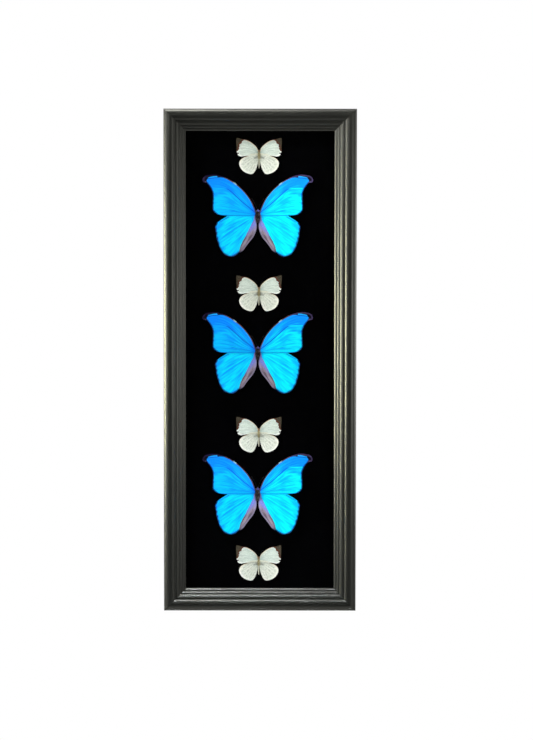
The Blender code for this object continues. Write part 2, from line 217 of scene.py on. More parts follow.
# %% Shader shorthand
class Value:
    """An output of a node. Plain arithmetic on it adds the Math nodes."""

    def __init__(self, finish, socket):
        self.finish = finish
        self.socket = socket

    def maths(self, operation, *terms):
        inputs = dict(enumerate(terms))
        return self.finish.node("ShaderNodeMath", {"operation": operation}, inputs)

    def __add__(self, other):
        return self.maths("ADD", self, other)

    def __sub__(self, other):
        return self.maths("SUBTRACT", self, other)

    def __rsub__(self, other):
        return self.maths("SUBTRACT", other, self)

    def __mul__(self, other):
        return self.maths("MULTIPLY", self, other)

    def __abs__(self):
        return self.maths("ABSOLUTE", self)

    def fraction(self):
        return self.maths("FRACT", self)

    def at_least(self, other):
        return self.maths("MAXIMUM", self, other)

    def ramp(self, start, end, low=0.0, high=1.0):
        """A smooth step from low to high as the value goes from start to end."""
        settings = {"interpolation_type": "SMOOTHSTEP"}
        inputs = {0: self, 1: start, 2: end, 3: low, 4: high}
        return self.finish.node("ShaderNodeMapRange", settings, inputs)


# %% [markdown]
# ### A finish under construction
# One object holds a material while its nodes are joined up. `set` fills an input of the
# Principled shader with a plain number or with a worked-out value, and `node` makes any node.


# %% Finish
class Finish:
    """A Principled material under construction; plain inputs are given by name."""

    def __init__(self, name, **plain):
        self.material = bpy.data.materials.new(name)
        self.material.use_nodes = True
        self.tree = self.material.node_tree
        self.shader = self.tree.nodes["Principled BSDF"]
        for key, value in plain.items():
            self.set(key.replace("_", " "), value)

    def fill(self, socket, value):
        if isinstance(value, Value):
            self.tree.links.new(value.socket, socket)
        elif isinstance(value, (tuple, list)):
            size = len(socket.default_value)
            socket.default_value = (*value, 1.0)[:size]
        else:
            socket.default_value = value

    def set(self, name, value):
        self.fill(self.shader.inputs[name], value)

    def node(self, kind, settings=None, inputs=None, output=0):
        made = self.tree.nodes.new(kind)
        for key, value in (settings or {}).items():
            setattr(made, key, value)
        for key, value in (inputs or {}).items():
            self.fill(made.inputs[key], value)
        return Value(self, made.outputs[output])

    def mix(self, share, first, second):
        """The first colour where share is 0, and the second where it is 1."""
        inputs = {0: share, 6: first, 7: second}
        return self.node("ShaderNodeMix", {"data_type": "RGBA"}, inputs, 2)

    def layers(self, ground, *coats):
        """Colours laid over a ground in turn. A coat is its share, 0 to 1, and its colour."""
        for share, colour in coats:
            ground = self.mix(share, ground, colour)
        return ground

    def split(self, vector):
        parts = self.node("ShaderNodeSeparateXYZ", None, {0: vector})
        outputs = parts.socket.node.outputs
        return [Value(self, outputs[axis]) for axis in range(3)]

    def attribute(self, name, output="Fac"):
        return self.node("ShaderNodeAttribute", {"attribute_name": name}, None, output)

    def object_place(self, stretch=(1.0, 1.0, 1.0)):
        """Metres in the frame's own axes, stretched where a pattern is."""
        place = self.node("ShaderNodeTexCoord", None, None, "Object")
        return self.node("ShaderNodeMapping", None, {0: place, "Scale": stretch})

    def noise(self, vector, scale, detail):
        inputs = {"Vector": vector, "Scale": scale, "Detail": detail}
        return self.node("ShaderNodeTexNoise", None, inputs)

    def far_from(self, vector, point):
        """How far each spot is from one point."""
        settings = {"operation": "DISTANCE"}
        return self.node("ShaderNodeVectorMath", settings, {0: vector, 1: point}, "Value")

    def bump(self, height, distance, strength):
        inputs = {"Height": height, "Distance": distance, "Strength": strength}
        self.set("Normal", self.node("ShaderNodeBump", None, inputs, "Normal"))


# %% [markdown]
# ## The floor
# A plain pale disc well below the frame. It isn't part of the object.

# %% Floor
FLOOR_DROP = 0.36
FLOOR_RADIUS = 0.55
floor_z = frame_low.z - FLOOR_DROP
bpy.ops.object.select_all(action="DESELECT")
bpy.ops.mesh.primitive_circle_add(vertices=96, radius=FLOOR_RADIUS, fill_type="NGON",
                                  location=(0.0, 0.0, floor_z))
floor = bpy.context.object
floor.name = "floor"
pale = Finish("pale_floor", Base_Color=(0.80, 0.80, 0.79), Roughness=0.9)
floor.data.materials.append(pale.material)
print("floor", round(floor_z, 3))

# %% [markdown]
# ## Black lacquer
# The moulding is wood with a satin black lacquer. Under the lacquer the grain still runs along
# each length as very faint long ridges, and the sheen varies slightly where hands and cloths
# have been. The grain needs one finish for the upright lengths and one for the level ones.


# %% Lacquer
LACQUER_DARK, LACQUER_LIGHT = (0.0105, 0.0110, 0.0095), (0.0155, 0.0160, 0.0140)
GRAIN_STRETCH = 0.03
GRAIN_HEIGHT = 0.004 * MM


def lacquer(name, along):
    """Satin black, its grain stretched along one axis: 0 for level rails and 2 for uprights."""
    finish = Finish(name, IOR=1.5, Specular_Tint=(1.0, 1.0, 0.88))
    stretch = [1.0, 1.0, 1.0]
    stretch[along] = GRAIN_STRETCH
    place = finish.object_place(stretch)
    grain = finish.noise(place, 900.0, 1.0)
    cloud = finish.noise(finish.object_place(), 28.0, 4.0)
    finish.set("Base Color", finish.mix(cloud, LACQUER_DARK, LACQUER_LIGHT))
    finish.set("Roughness", cloud * 0.012 + 0.322)
    finish.bump(grain, GRAIN_HEIGHT, 0.3)
    return finish.material


UPRIGHT_LACQUER = lacquer("lacquer_upright", 2)
LEVEL_LACQUER = lacquer("lacquer_level", 0)
print("finishes", UPRIGHT_LACQUER.name, LEVEL_LACQUER.name)

# %% [markdown]
# ## Smooth lines through a few points
# Sections, wing edges and ribs are all drawn the same way: a few points, and a smooth line
# through them. The slope at each point comes from its neighbours.


# %% Smooth lines
def ease(t, span, start, start_slope, end, end_slope):
    """From start to end as t goes from 0 to 1, leaving and arriving at the given slopes."""
    return (
        (2 * t**3 - 3 * t**2 + 1) * start
        + (t**3 - 2 * t**2 + t) * span * start_slope
        + (3 * t**2 - 2 * t**3) * end
        + (t**3 - t**2) * span * end_slope
    )


def smooth_line(points, count):
    """Evenly spaced points on a smooth line through the given ones."""
    points = np.array(points, float)
    length = np.r_[0.0, np.cumsum(np.linalg.norm(np.diff(points, axis=0), axis=1))]
    slope = np.gradient(points, length, axis=0)
    place = np.linspace(0.0, length[-1], count)
    left = np.clip(np.searchsorted(length, place, side="right") - 1, 0, len(points) - 2)
    span = (length[left + 1] - length[left])[:, None]
    t = (place - length[left])[:, None] / span
    return ease(t, span, points[left], slope[left], points[left + 1], slope[left + 1])


print("five points of a hump", smooth_line([(0, 0), (1, 1), (2, 0)], 5).round(2).tolist())

# %% [markdown]
# ## The moulding
# A router cuts the moulding's section into a long batten: an outer roll, a slope down to a
# narrow step, three smaller beads falling to the glass, and a rebate at the back. The batten is
# then sawn at 45 degrees into four lengths.
# Here the section starts as a flat disc whose rim points are moved onto it. It is extruded to
# the length of a rail, and a bisect at each end does the mitre saw's work. A fine bevel softens
# every edge, as lacquer does, and leaves a hairline along each mitre.

# %% Section of the moulding
RAIL_DEPTH = (flat_back - front) / MM
RAIL_WIDTH = 24.5
REBATE_WALL = 18.5
REBATE_DEPTH = 27.0
EDGE_SOFTNESS = 0.22 * MM
SOFTENED_ABOVE = math.radians(38.0)
# The front of the section in runs between its sharp corners. A point says how far in it is from
# the outer face, and how far below the top of the roll; the number is how finely to draw it.
ROLL = [(0.0, 9.0), (0.1, 4.6), (0.4, 3.3), (1.4, 2.2), (3.0, 1.1), (5.0, 0.3), (7.2, 0.0),
        (9.2, 0.3)], 26
SLOPE = [(9.2, 0.3), (10.6, 0.8), (11.8, 1.6), (12.6, 2.5), (12.9, 3.2)], 12
OUTER_BEAD = [(13.1, 3.3), (14.4, 3.5), (15.9, 4.1), (17.3, 5.0), (18.1, 5.8), (18.4, 6.5)], 16
MIDDLE_BEAD = [(18.6, 6.6), (19.4, 6.8), (20.4, 7.4), (21.2, 8.2), (21.5, 8.9)], 12
INNER_BEAD = [(21.7, 9.0), (22.5, 9.2), (23.6, 9.9), (RAIL_WIDTH, 10.7)], 10


def moulding_section():
    """Points of the section in millimetres: inwards from the outer face, and forwards."""
    points = [(REBATE_WALL, REBATE_DEPTH), (REBATE_WALL, 0.0), (0.0, 0.0)]
    for run, count in (ROLL, SLOPE, OUTER_BEAD, MIDDLE_BEAD, INNER_BEAD):
        run = [(inwards, RAIL_DEPTH - below) for inwards, below in run]
        points += [tuple(point) for point in smooth_line(run, count)]
    return points + [(RAIL_WIDTH, REBATE_DEPTH)]


SECTION = moulding_section()
print("section points", len(SECTION))


# %% Rails
SMOOTH_BELOW = math.radians(35.0)


def pick(piece):
    """Selects one piece alone."""
    bpy.ops.object.select_all(action="DESELECT")
    bpy.context.view_layer.objects.active = piece
    piece.select_set(True)


def edit(piece):
    """Opens one piece alone in edit mode, with everything in it selected."""
    pick(piece)
    bpy.ops.object.mode_set(mode="EDIT")
    bpy.ops.mesh.select_all(action="SELECT")


def apply_modifier(piece, kind, **settings):
    """Adds a modifier with its settings, and applies it at once."""
    bpy.context.view_layer.objects.active = piece
    modifier = piece.modifiers.new(kind.title(), kind)
    for key, value in settings.items():
        setattr(modifier, key, value)
    bpy.ops.object.modifier_apply(modifier=modifier.name)


def rail(name, reach, length, angle, material):
    """A mitred length of moulding; angle turns the left rail round to where this one goes."""
    bpy.ops.object.select_all(action="DESELECT")
    bpy.ops.mesh.primitive_circle_add(vertices=len(SECTION), fill_type="NGON")
    piece = bpy.context.object
    piece.name = name
    for point, (inwards, forwards) in zip(piece.data.vertices, SECTION):
        point.co = (inwards * MM, forwards * MM, -length / 2)
    edit(piece)
    bpy.ops.mesh.extrude_region_move(TRANSFORM_OT_translate={"value": (0.0, 0.0, length)})
    for end in (1, -1):
        bpy.ops.mesh.select_all(action="SELECT")
        bpy.ops.mesh.bisect(plane_co=(0.0, 0.0, end * length / 2), plane_no=(1.0, 0.0, end),
                            use_fill=True, clear_outer=True)
    bpy.ops.mesh.select_all(action="SELECT")
    bpy.ops.mesh.normals_make_consistent(inside=False)
    bpy.ops.object.mode_set(mode="OBJECT")
    apply_modifier(piece, "BEVEL", width=EDGE_SOFTNESS, segments=2, limit_method="ANGLE",
                   angle_limit=SOFTENED_ABOVE)
    outwards = Vector((-math.cos(angle), 0.0, math.sin(angle)))
    turned = Matrix.Rotation(angle, 4, "Y") @ Matrix.Rotation(math.pi, 4, "X")
    piece.matrix_world = Matrix.Translation(middle + outwards * reach) @ turned
    pick(piece)
    bpy.ops.object.transform_apply(location=True, rotation=True, scale=True)
    bpy.ops.object.shade_smooth_by_angle(angle=SMOOTH_BELOW)
    piece.data.materials.append(material)
    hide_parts(name)
    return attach(piece, "root")


half_width = frame_high.x
half_height = (frame_high.z - frame_low.z) / 2
RIGHT_ANGLE = math.pi / 2
UPRIGHT = half_width, 2 * half_height, UPRIGHT_LACQUER
LEVEL = half_height, 2 * half_width, LEVEL_LACQUER
for turns, (side, (reach, length, material)) in enumerate((
    ("left", UPRIGHT), ("top", LEVEL), ("right", UPRIGHT), ("bottom", LEVEL),
)):
    made = rail(side + "_rail", reach, length, turns * RIGHT_ANGLE, material)
    print(made.name, len(made.data.polygons), "faces")

# %% [markdown]
# ## Glass, boards and fittings
# These solids already have their real shape, so they stay and only get their finish.
# Picture glass is a Principled shader with full transmission. Real glass lets the lamps' light
# through to the specimens, so for shadow rays it is simply clear.


# %% Glass
def wear(node, material):
    """Gives a carried-over solid its finish."""
    solid = frame["nodes"][node]
    solid.data.materials.clear()
    solid.data.materials.append(material)


def picture_glass():
    finish = Finish("picture_glass", Base_Color=(0.985, 1.0, 0.993), Roughness=0.0, IOR=1.5,
                    Transmission_Weight=1.0)
    shadow = finish.node("ShaderNodeLightPath", None, None, "Is Shadow Ray")
    clear = finish.node("ShaderNodeBsdfTransparent")
    solid = Value(finish, finish.shader.outputs[0])
    both = finish.node("ShaderNodeMixShader", None, {0: shadow, 1: solid, 2: clear})
    output = finish.tree.nodes["Material Output"]
    finish.tree.links.new(both.socket, output.inputs["Surface"])
    return finish.material


wear("glass_pane", picture_glass())
pane_low, pane_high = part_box("glass_pane")
print("glass", round((pane_high.y - pane_low.y) / MM, 1), "mm thick")

# %% [markdown]
# ### Velvet
# The board is faced with flocked paper: short black fibres that swallow the light. So it has
# no gloss at all, and a very fine noise stands for the fibres, in the colour and as a bump.

# %% Velvet
VELVET_DARK, VELVET_LIGHT = (0.0004, 0.0004, 0.0006), (0.0011, 0.0011, 0.0014)


def velvet():
    finish = Finish("black_velvet", Roughness=1.0, Specular_IOR_Level=0.0)
    fibres = finish.noise(finish.object_place(), 5200.0, 2.0)
    cloud = finish.noise(finish.object_place(), 60.0, 3.0)
    shade = (fibres * 0.7 + cloud * 0.3).ramp(0.35, 0.7)
    finish.set("Base Color", finish.mix(shade, VELVET_DARK, VELVET_LIGHT))
    finish.bump(fibres, 0.3 * MM, 0.6)
    return finish.material


wear("display_board", velvet())
print("velvet on the display board")

# %% [markdown]
# ### Hardboard
# Hardboard is wood fibre, pressed wet against a wire screen whose weave stays on the rough
# side. Two crossed sine waves make the weave, and noise stretched one way makes the fibres.

# %% Hardboard
BOARD_DARK, BOARD_LIGHT = (0.115, 0.060, 0.030), (0.235, 0.135, 0.070)
SCREEN_PITCH = 1.6 * MM


def hardboard():
    finish = Finish("hardboard", Specular_IOR_Level=0.25)
    place = finish.object_place()
    fibres = finish.noise(finish.object_place((1.0, 1.0, 0.35)), 2400.0, 5.0)
    blotch = finish.noise(place, 35.0, 3.0)
    across, _, upwards = finish.split(place)
    pitch = 2 * math.pi / SCREEN_PITCH
    screen = across.maths("SINE", across * pitch) * upwards.maths("SINE", upwards * pitch)
    tone = (fibres * 0.6 + blotch * 0.4).ramp(0.3, 0.7)
    finish.set("Base Color", finish.mix(tone, BOARD_DARK, BOARD_LIGHT))
    finish.set("Roughness", fibres * 0.2 + 0.65)
    finish.bump(screen * 0.5 + fibres, 0.25 * MM, 0.8)
    return finish.material


wear("backing_board", hardboard())
print("hardboard with a screen of", round(SCREEN_PITCH / MM, 1), "mm")

# %% [markdown]
# ### Strips and fittings
# The spacer strips are black card. The hanger and its nails are zinc plated: cloudy, with fine
# scratches from the press. The framer's points are bare spring steel, and the bumpers rubber
# that is greyed by dust. The two steels share one recipe and differ in colour and roughness.

# %% Strips and fittings
SPACER_DARK, SPACER_LIGHT = (0.0012, 0.0012, 0.0012), (0.003, 0.003, 0.003)
RUBBER_DARK, RUBBER_DUSTY = (0.030, 0.030, 0.031), (0.075, 0.073, 0.070)
DULLED = 0.62
FRAMERS_POINTS = 8


def spacer_black():
    finish = Finish("spacer_black", Roughness=0.9, Specular_IOR_Level=0.1)
    fibres = finish.noise(finish.object_place((1.0, 1.0, 0.2)), 1500.0, 3.0)
    finish.set("Base Color", finish.mix(fibres, SPACER_DARK, SPACER_LIGHT))
    finish.bump(fibres, 0.1 * MM, 0.5)
    return finish.material


def steel(name, colour, roughness):
    finish = Finish(name, Metallic=1.0)
    cloud = finish.noise(finish.object_place(), 420.0, 4.0)
    scratch = finish.noise(finish.object_place((0.06, 1.0, 1.0)), 9000.0, 2.0)
    dull = tuple(DULLED * part for part in colour)
    finish.set("Base Color", finish.mix(cloud.ramp(0.35, 0.75), colour, dull))
    finish.set("Roughness", cloud * 0.2 + roughness)
    finish.bump(scratch, 0.02 * MM, 0.5)
    return finish.material


def rubber():
    finish = Finish("bumper_rubber")
    dust = finish.noise(finish.object_place(), 900.0, 4.0)
    finish.set("Base Color", finish.mix(dust.ramp(0.45, 0.8), RUBBER_DARK, RUBBER_DUSTY))
    finish.set("Roughness", dust * 0.2 + 0.6)
    finish.bump(dust, 0.05 * MM, 0.6)
    return finish.material


PLATE = steel("zinc_plate", (0.66, 0.65, 0.60), 0.24)
SPRING_STEEL = steel("spring_steel", (0.47, 0.48, 0.50), 0.30)
RUBBER = rubber()
SPACER = spacer_black()
for side in ("left", "right", "top", "bottom"):
    wear(side + "_spacer", SPACER)
for number in range(1, FRAMERS_POINTS + 1):
    wear(f"framers_point_{number}", SPRING_STEEL)
wear("sawtooth_hanger", PLATE)
for side in ("left", "right"):
    wear(side + "_hanger_nail", PLATE)
    wear(side + "_wall_bumper", RUBBER)
print("spacers, framer's points, hanger, nails and bumpers")

# %% [markdown]
# ## Wings
# A wing is a thin skin stretched over ribs that fan out from its root, so it is drawn by its
# ribs: the first is the leading edge, the last the trailing one, and the ones between are the
# veins. Each is a smooth line from the root to the outer margin. A flat grid is then carried
# onto the fan, so that every rib falls on a line of the mesh and can be raised as a fine ridge,
# with the skin pleated between ribs. Half of the animal is drawn, in millimetres outwards and
# upwards from the middle of its thorax, and the other half is its mirror image.

# %% Ribs of the blue forewing
BLUE_FOREWING = {
    "ribs": [
        [(2.5, 3.5), (6.0, 13.0), (13.9, 24.7), (24.9, 34.9), (37.7, 42.1), (50.2, 45.0),
         (58.6, 43.7)],
        [(2.6, 3.1), (7.3, 11.4), (15.0, 21.4), (24.0, 29.8), (34.0, 36.6), (46.0, 41.0),
         (56.0, 41.6), (61.6, 40.2)],
        [(2.6, 2.8), (8.1, 9.9), (15.2, 17.6), (22.2, 24.4), (29.5, 30.4), (38.0, 35.6),
         (47.0, 38.0), (55.0, 38.0), (61.3, 36.3)],
        [(2.7, 2.5), (8.8, 8.4), (15.9, 15.2), (22.8, 21.9), (29.2, 27.7), (36.0, 31.9),
         (44.0, 34.2), (50.0, 34.8), (56.2, 34.3)],
        [(2.7, 2.2), (9.3, 7.1), (16.5, 13.1), (23.5, 19.7), (29.7, 25.3), (34.6, 29.0),
         (40.0, 30.7), (46.0, 31.2), (53.6, 31.0)],
        [(2.8, 1.9), (9.5, 5.9), (17.0, 11.2), (24.0, 17.6), (30.0, 23.2), (34.0, 26.9),
         (38.5, 28.2), (45.0, 28.4), (52.0, 28.2)],
        [(2.8, 1.5), (10.0, 4.5), (18.0, 8.8), (26.0, 14.2), (33.0, 18.2), (41.0, 19.9),
         (50.4, 19.8)],
        [(2.8, 1.0), (10.0, 3.1), (18.0, 6.1), (26.0, 10.2), (33.0, 13.4), (41.0, 15.0),
         (50.6, 15.0)],
        [(2.8, 0.5), (10.0, 1.9), (18.0, 3.8), (26.0, 6.5), (34.0, 9.0), (42.0, 10.3),
         (50.8, 10.3)],
        [(2.8, 0.0), (10.0, 0.8), (18.0, 1.7), (26.0, 3.1), (34.0, 4.5), (42.0, 5.2),
         (50.5, 5.2)],
        [(2.8, -0.5), (10.0, -0.2), (20.0, 0.3), (32.0, 1.3), (41.0, 1.9), (48.7, 2.3)],
        [(2.8, -1.0), (10.0, -1.4), (20.0, -1.4), (34.8, -1.0), (42.2, -0.3), (46.2, 0.8)],
    ],
    "margin": [(58.6, 43.7), (61.3, 41.3), (62.2, 38.6), (61.2, 36.3), (58.6, 35.9),
               (56.4, 34.6), (54.4, 32.0), (52.1, 28.5), (50.7, 24.0), (50.3, 20.0),
               (50.6, 15.4), (50.8, 10.6), (50.7, 6.0), (49.0, 2.7), (46.2, 0.8)],
    "tip": [(33.0, 41.6), (38.0, 41.3), (41.5, 41.7), (45.0, 41.5), (45.7, 43.3), (50.0, 43.0),
            (55.4, 41.7), (56.2, 40.0), (57.4, 38.8), (57.2, 37.2), (56.4, 35.2), (60.0, 30.0),
            (60.0, -20.0)],
    "band": [(2.7, 2.2), (6.6, 5.3), (12.0, 9.8), (17.4, 14.2), (21.5, 18.0), (25.4, 21.7),
             (29.0, 25.0), (32.0, 27.5), (35.0, 29.2), (38.5, 29.7), (45.0, 29.6), (60.0, 29.4)],
    "mark": [(45.0, 41.4), (50.0, 41.1), (55.6, 40.2)],
}
print("blue forewing", len(BLUE_FOREWING["ribs"]), "ribs")

# %% Ribs of the blue hindwing
BLUE_HINDWING = {
    "ribs": [
        [(2.8, -1.4), (8.0, 2.5), (17.0, 5.0), (27.0, 3.8), (34.1, -1.4), (38.0, -3.9),
         (42.2, -6.5), (46.2, -9.7)],
        [(2.8, -1.8), (10.0, 0.6), (20.0, 1.2), (30.0, -1.8), (38.0, -6.6), (43.5, -10.6),
         (47.6, -14.6)],
        [(2.8, -2.2), (10.0, -1.4), (20.0, -3.0), (30.0, -7.4), (39.0, -13.4), (47.2, -19.2)],
        [(2.8, -2.6), (10.0, -3.9), (20.0, -8.0), (30.0, -13.2), (38.5, -18.6), (46.5, -24.4)],
        [(2.8, -3.0), (9.4, -6.0), (19.0, -11.8), (28.5, -17.4), (37.2, -23.8), (45.3, -29.6)],
        [(2.8, -3.4), (8.7, -7.9), (16.5, -15.2), (25.5, -22.8), (34.5, -29.4), (43.6, -35.1)],
        [(2.8, -3.8), (8.0, -9.4), (14.6, -18.4), (22.4, -27.4), (31.0, -35.0), (39.8, -42.0)],
        [(2.7, -4.2), (7.2, -10.4), (12.6, -19.6), (18.8, -29.4), (25.6, -37.8), (33.4, -46.4)],
        [(2.6, -4.6), (4.7, -6.6), (7.6, -11.8), (10.7, -18.3), (14.0, -24.8), (17.2, -30.2),
         (19.6, -35.6), (21.0, -42.4)],
        [(1.9, -5.0), (1.3, -8.7), (0.9, -12.4), (1.6, -17.6), (2.9, -21.3), (5.4, -26.0),
         (9.3, -30.8), (13.2, -35.9), (16.4, -40.4), (19.2, -42.7)],
    ],
    "margin": [(46.2, -9.7), (47.8, -13.2), (47.9, -15.8), (47.1, -19.4), (46.7, -24.2),
               (45.3, -29.6), (43.8, -34.8), (42.3, -38.6), (39.8, -42.0), (37.4, -45.0),
               (33.4, -46.5), (29.6, -47.4), (26.0, -46.6), (22.8, -44.4), (21.0, -42.5),
               (19.2, -42.7)],
    "tip": [(60.0, -60.0), (60.0, -61.0)],
    "band": [(21.4, -52.0), (21.2, -42.4), (19.6, -35.6), (17.2, -30.2), (14.0, -24.8),
             (10.7, -18.3), (7.6, -11.8), (4.5, -6.0), (3.6, 0.0)],
    "mark": [(32.5, -2.4), (37.0, -4.9), (43.2, -8.6)],
}
print("blue hindwing", len(BLUE_HINDWING["ribs"]), "ribs")

# %% Ribs of the white wings
WHITE_FOREWING = {
    "ribs": [
        [(0.8, 4.6), (2.6, 8.6), (5.2, 11.5), (8.4, 14.1), (11.6, 16.1), (14.5, 17.2),
         (18.1, 18.0), (22.1, 19.1), (25.3, 19.8)],
        [(0.8, 4.2), (4.2, 8.4), (9.0, 12.6), (15.0, 15.7), (20.5, 16.9), (25.5, 16.6)],
        [(0.8, 3.8), (5.0, 7.4), (10.0, 10.8), (16.0, 13.2), (25.3, 13.2)],
        [(0.8, 3.4), (5.0, 6.2), (10.0, 8.9), (15.0, 10.4), (25.2, 9.8)],
        [(0.8, 3.0), (5.0, 4.9), (10.0, 6.8), (15.0, 7.7), (25.1, 6.5)],
        [(0.8, 2.5), (5.0, 3.6), (10.0, 4.6), (15.0, 4.9), (24.9, 3.6)],
        [(0.8, 2.0), (5.0, 2.3), (10.0, 2.6), (15.0, 2.5), (24.2, 1.3)],
        [(0.8, 1.4), (5.0, 1.1), (12.0, 0.7), (17.0, 0.4), (22.6, -0.5)],
        [(0.8, 0.8), (7.4, 0.2), (13.4, -0.3), (16.6, -0.8), (20.0, -1.35)],
    ],
    "margin": [(25.3, 19.8), (25.6, 16.2), (25.4, 12.1), (25.2, 8.1), (25.0, 4.5),
               (24.3, 1.5), (22.6, -0.5), (20.0, -1.35)],
    "tip": [(11.6, 17.9), (14.0, 17.5), (16.9, 17.1), (18.2, 16.4), (19.1, 15.1), (19.3, 13.9),
            (20.8, 13.0), (22.1, 11.8), (21.9, 10.3), (22.5, 9.0), (22.3, 7.6), (23.1, 6.4),
            (23.2, 5.2), (24.2, 4.7), (26.0, 4.4)],
    "band": [(0.0, 30.0), (30.0, 30.0)],
    "mark": [(23.4, 2.4), (26.0, 2.2)],
}
WHITE_HINDWING = {
    "ribs": [
        [(0.8, -0.4), (4.0, 1.9), (8.5, 1.8), (13.5, -0.9), (16.9, -2.25), (19.7, -4.1),
         (21.4, -6.0)],
        [(0.8, -0.8), (6.0, 0.1), (12.0, -1.9), (17.5, -4.8), (22.1, -8.2)],
        [(0.8, -1.1), (6.0, -1.6), (12.0, -4.3), (17.0, -7.4), (22.0, -11.2)],
        [(0.8, -1.4), (6.0, -3.3), (11.5, -7.0), (16.0, -10.4), (20.7, -14.2)],
        [(0.8, -1.7), (5.0, -4.6), (10.0, -9.2), (14.0, -13.3), (18.4, -17.0)],
        [(0.8, -2.0), (4.4, -5.8), (8.0, -10.8), (11.5, -15.6), (15.2, -19.1)],
        [(0.8, -2.3), (3.6, -6.4), (6.2, -11.8), (8.8, -16.8), (11.6, -20.4)],
        [(0.8, -2.6), (2.2, -6.6), (4.0, -12.0), (6.2, -17.0), (8.8, -20.9)],
        [(0.7, -3.0), (1.1, -6.0), (2.1, -11.5), (3.2, -14.6), (4.8, -18.0), (6.9, -20.4)],
    ],
    "margin": [(21.4, -6.0), (22.2, -8.3), (22.0, -11.2), (20.7, -14.1), (18.5, -16.9),
               (15.5, -19.0), (12.6, -20.2), (9.1, -20.9), (6.9, -20.4)],
    "tip": [(60.0, -60.0), (60.0, -61.0)],
    "band": [(0.0, 30.0), (30.0, 30.0)],
    "mark": [(1.8, -1.8), (4.6, -2.8)],
}
print("white wings", len(WHITE_FOREWING["ribs"]), "and", len(WHITE_HINDWING["ribs"]), "ribs")

# %% [markdown]
# ### From ribs to a skin
# The ribs alone give the fan at every step from root to margin. The outer end is then eased
# onto the drawn margin, whose edge is finer than the ribs' ends. The skin is lifted into a
# shallow arch, pleated between ribs and ridged along them.
# Each point also keeps what its finish will need: where it lies on the animal, how wide the
# space between its ribs is, and how far it is from the wing's edges.

# %% From ribs to a fan
MARGIN_STEPS = 600
EASE_TO_MARGIN = 5


def blend_across(rows, places):
    """Smooth values between evenly numbered rows, at fractional row numbers."""
    slope = np.gradient(rows, axis=0)
    left = np.clip(np.floor(places).astype(int), 0, len(rows) - 2)
    t = (places - left).reshape(-1, *[1] * (rows.ndim - 1))
    return ease(t, 1.0, rows[left], slope[left], rows[left + 1], slope[left + 1])


def fan(drawing, steps_along, steps_across):
    """The flat wing: points[along, across] in millimetres, and the gap between ribs there."""
    ribs = np.array([smooth_line(rib, steps_along + 1) for rib in drawing["ribs"]])
    intervals = len(ribs) - 1
    places = np.linspace(0.0, intervals, steps_across + 1)
    points = blend_across(ribs, places).swapaxes(0, 1)
    margin = smooth_line(drawing["margin"], MARGIN_STEPS)
    ends = ribs[:, -1]
    nearest = [int(np.argmin(np.linalg.norm(margin - end, axis=1))) for end in ends]
    nearest[0], nearest[-1] = 0, len(margin) - 1
    wanted = margin[np.interp(places, range(len(ends)), nearest).astype(int)]
    u = np.linspace(0.0, 1.0, steps_along + 1)[:, None, None]
    points = points + u**EASE_TO_MARGIN * (wanted - points[-1])[None]
    gap = np.linalg.norm(np.gradient(points, places, axis=1), axis=2)
    return points, gap


# %% Wing sheet
RIB_LINE_STEPS, MARGIN_LINE_STEPS = 200, 300
# Relief in millimetres: the pleat is full where the ribs are a wide gap apart.
PLEAT, WIDE_GAP = 0.12, 3.0
RIDGE, RIDGE_HALF_WIDTH = 0.09, 0.22


def distance_to_line(points, line):
    """Distance of each point to an open line, positive on the line's left."""
    best = np.full(len(points), np.inf)
    side = np.zeros(len(points))
    for start, end in zip(line[:-1], line[1:]):
        run = end - start
        reach = points - start
        share = np.clip(reach @ run / (run @ run), 0.0, 1.0)
        away = reach - share[:, None] * run
        gap = np.linalg.norm(away, axis=1)
        closer = gap < best - 1e-9
        best[closer] = gap[closer]
        side[closer] = (run[0] * reach[:, 1] - run[1] * reach[:, 0])[closer]
    return best * np.where(side >= 0, 1.0, -1.0)


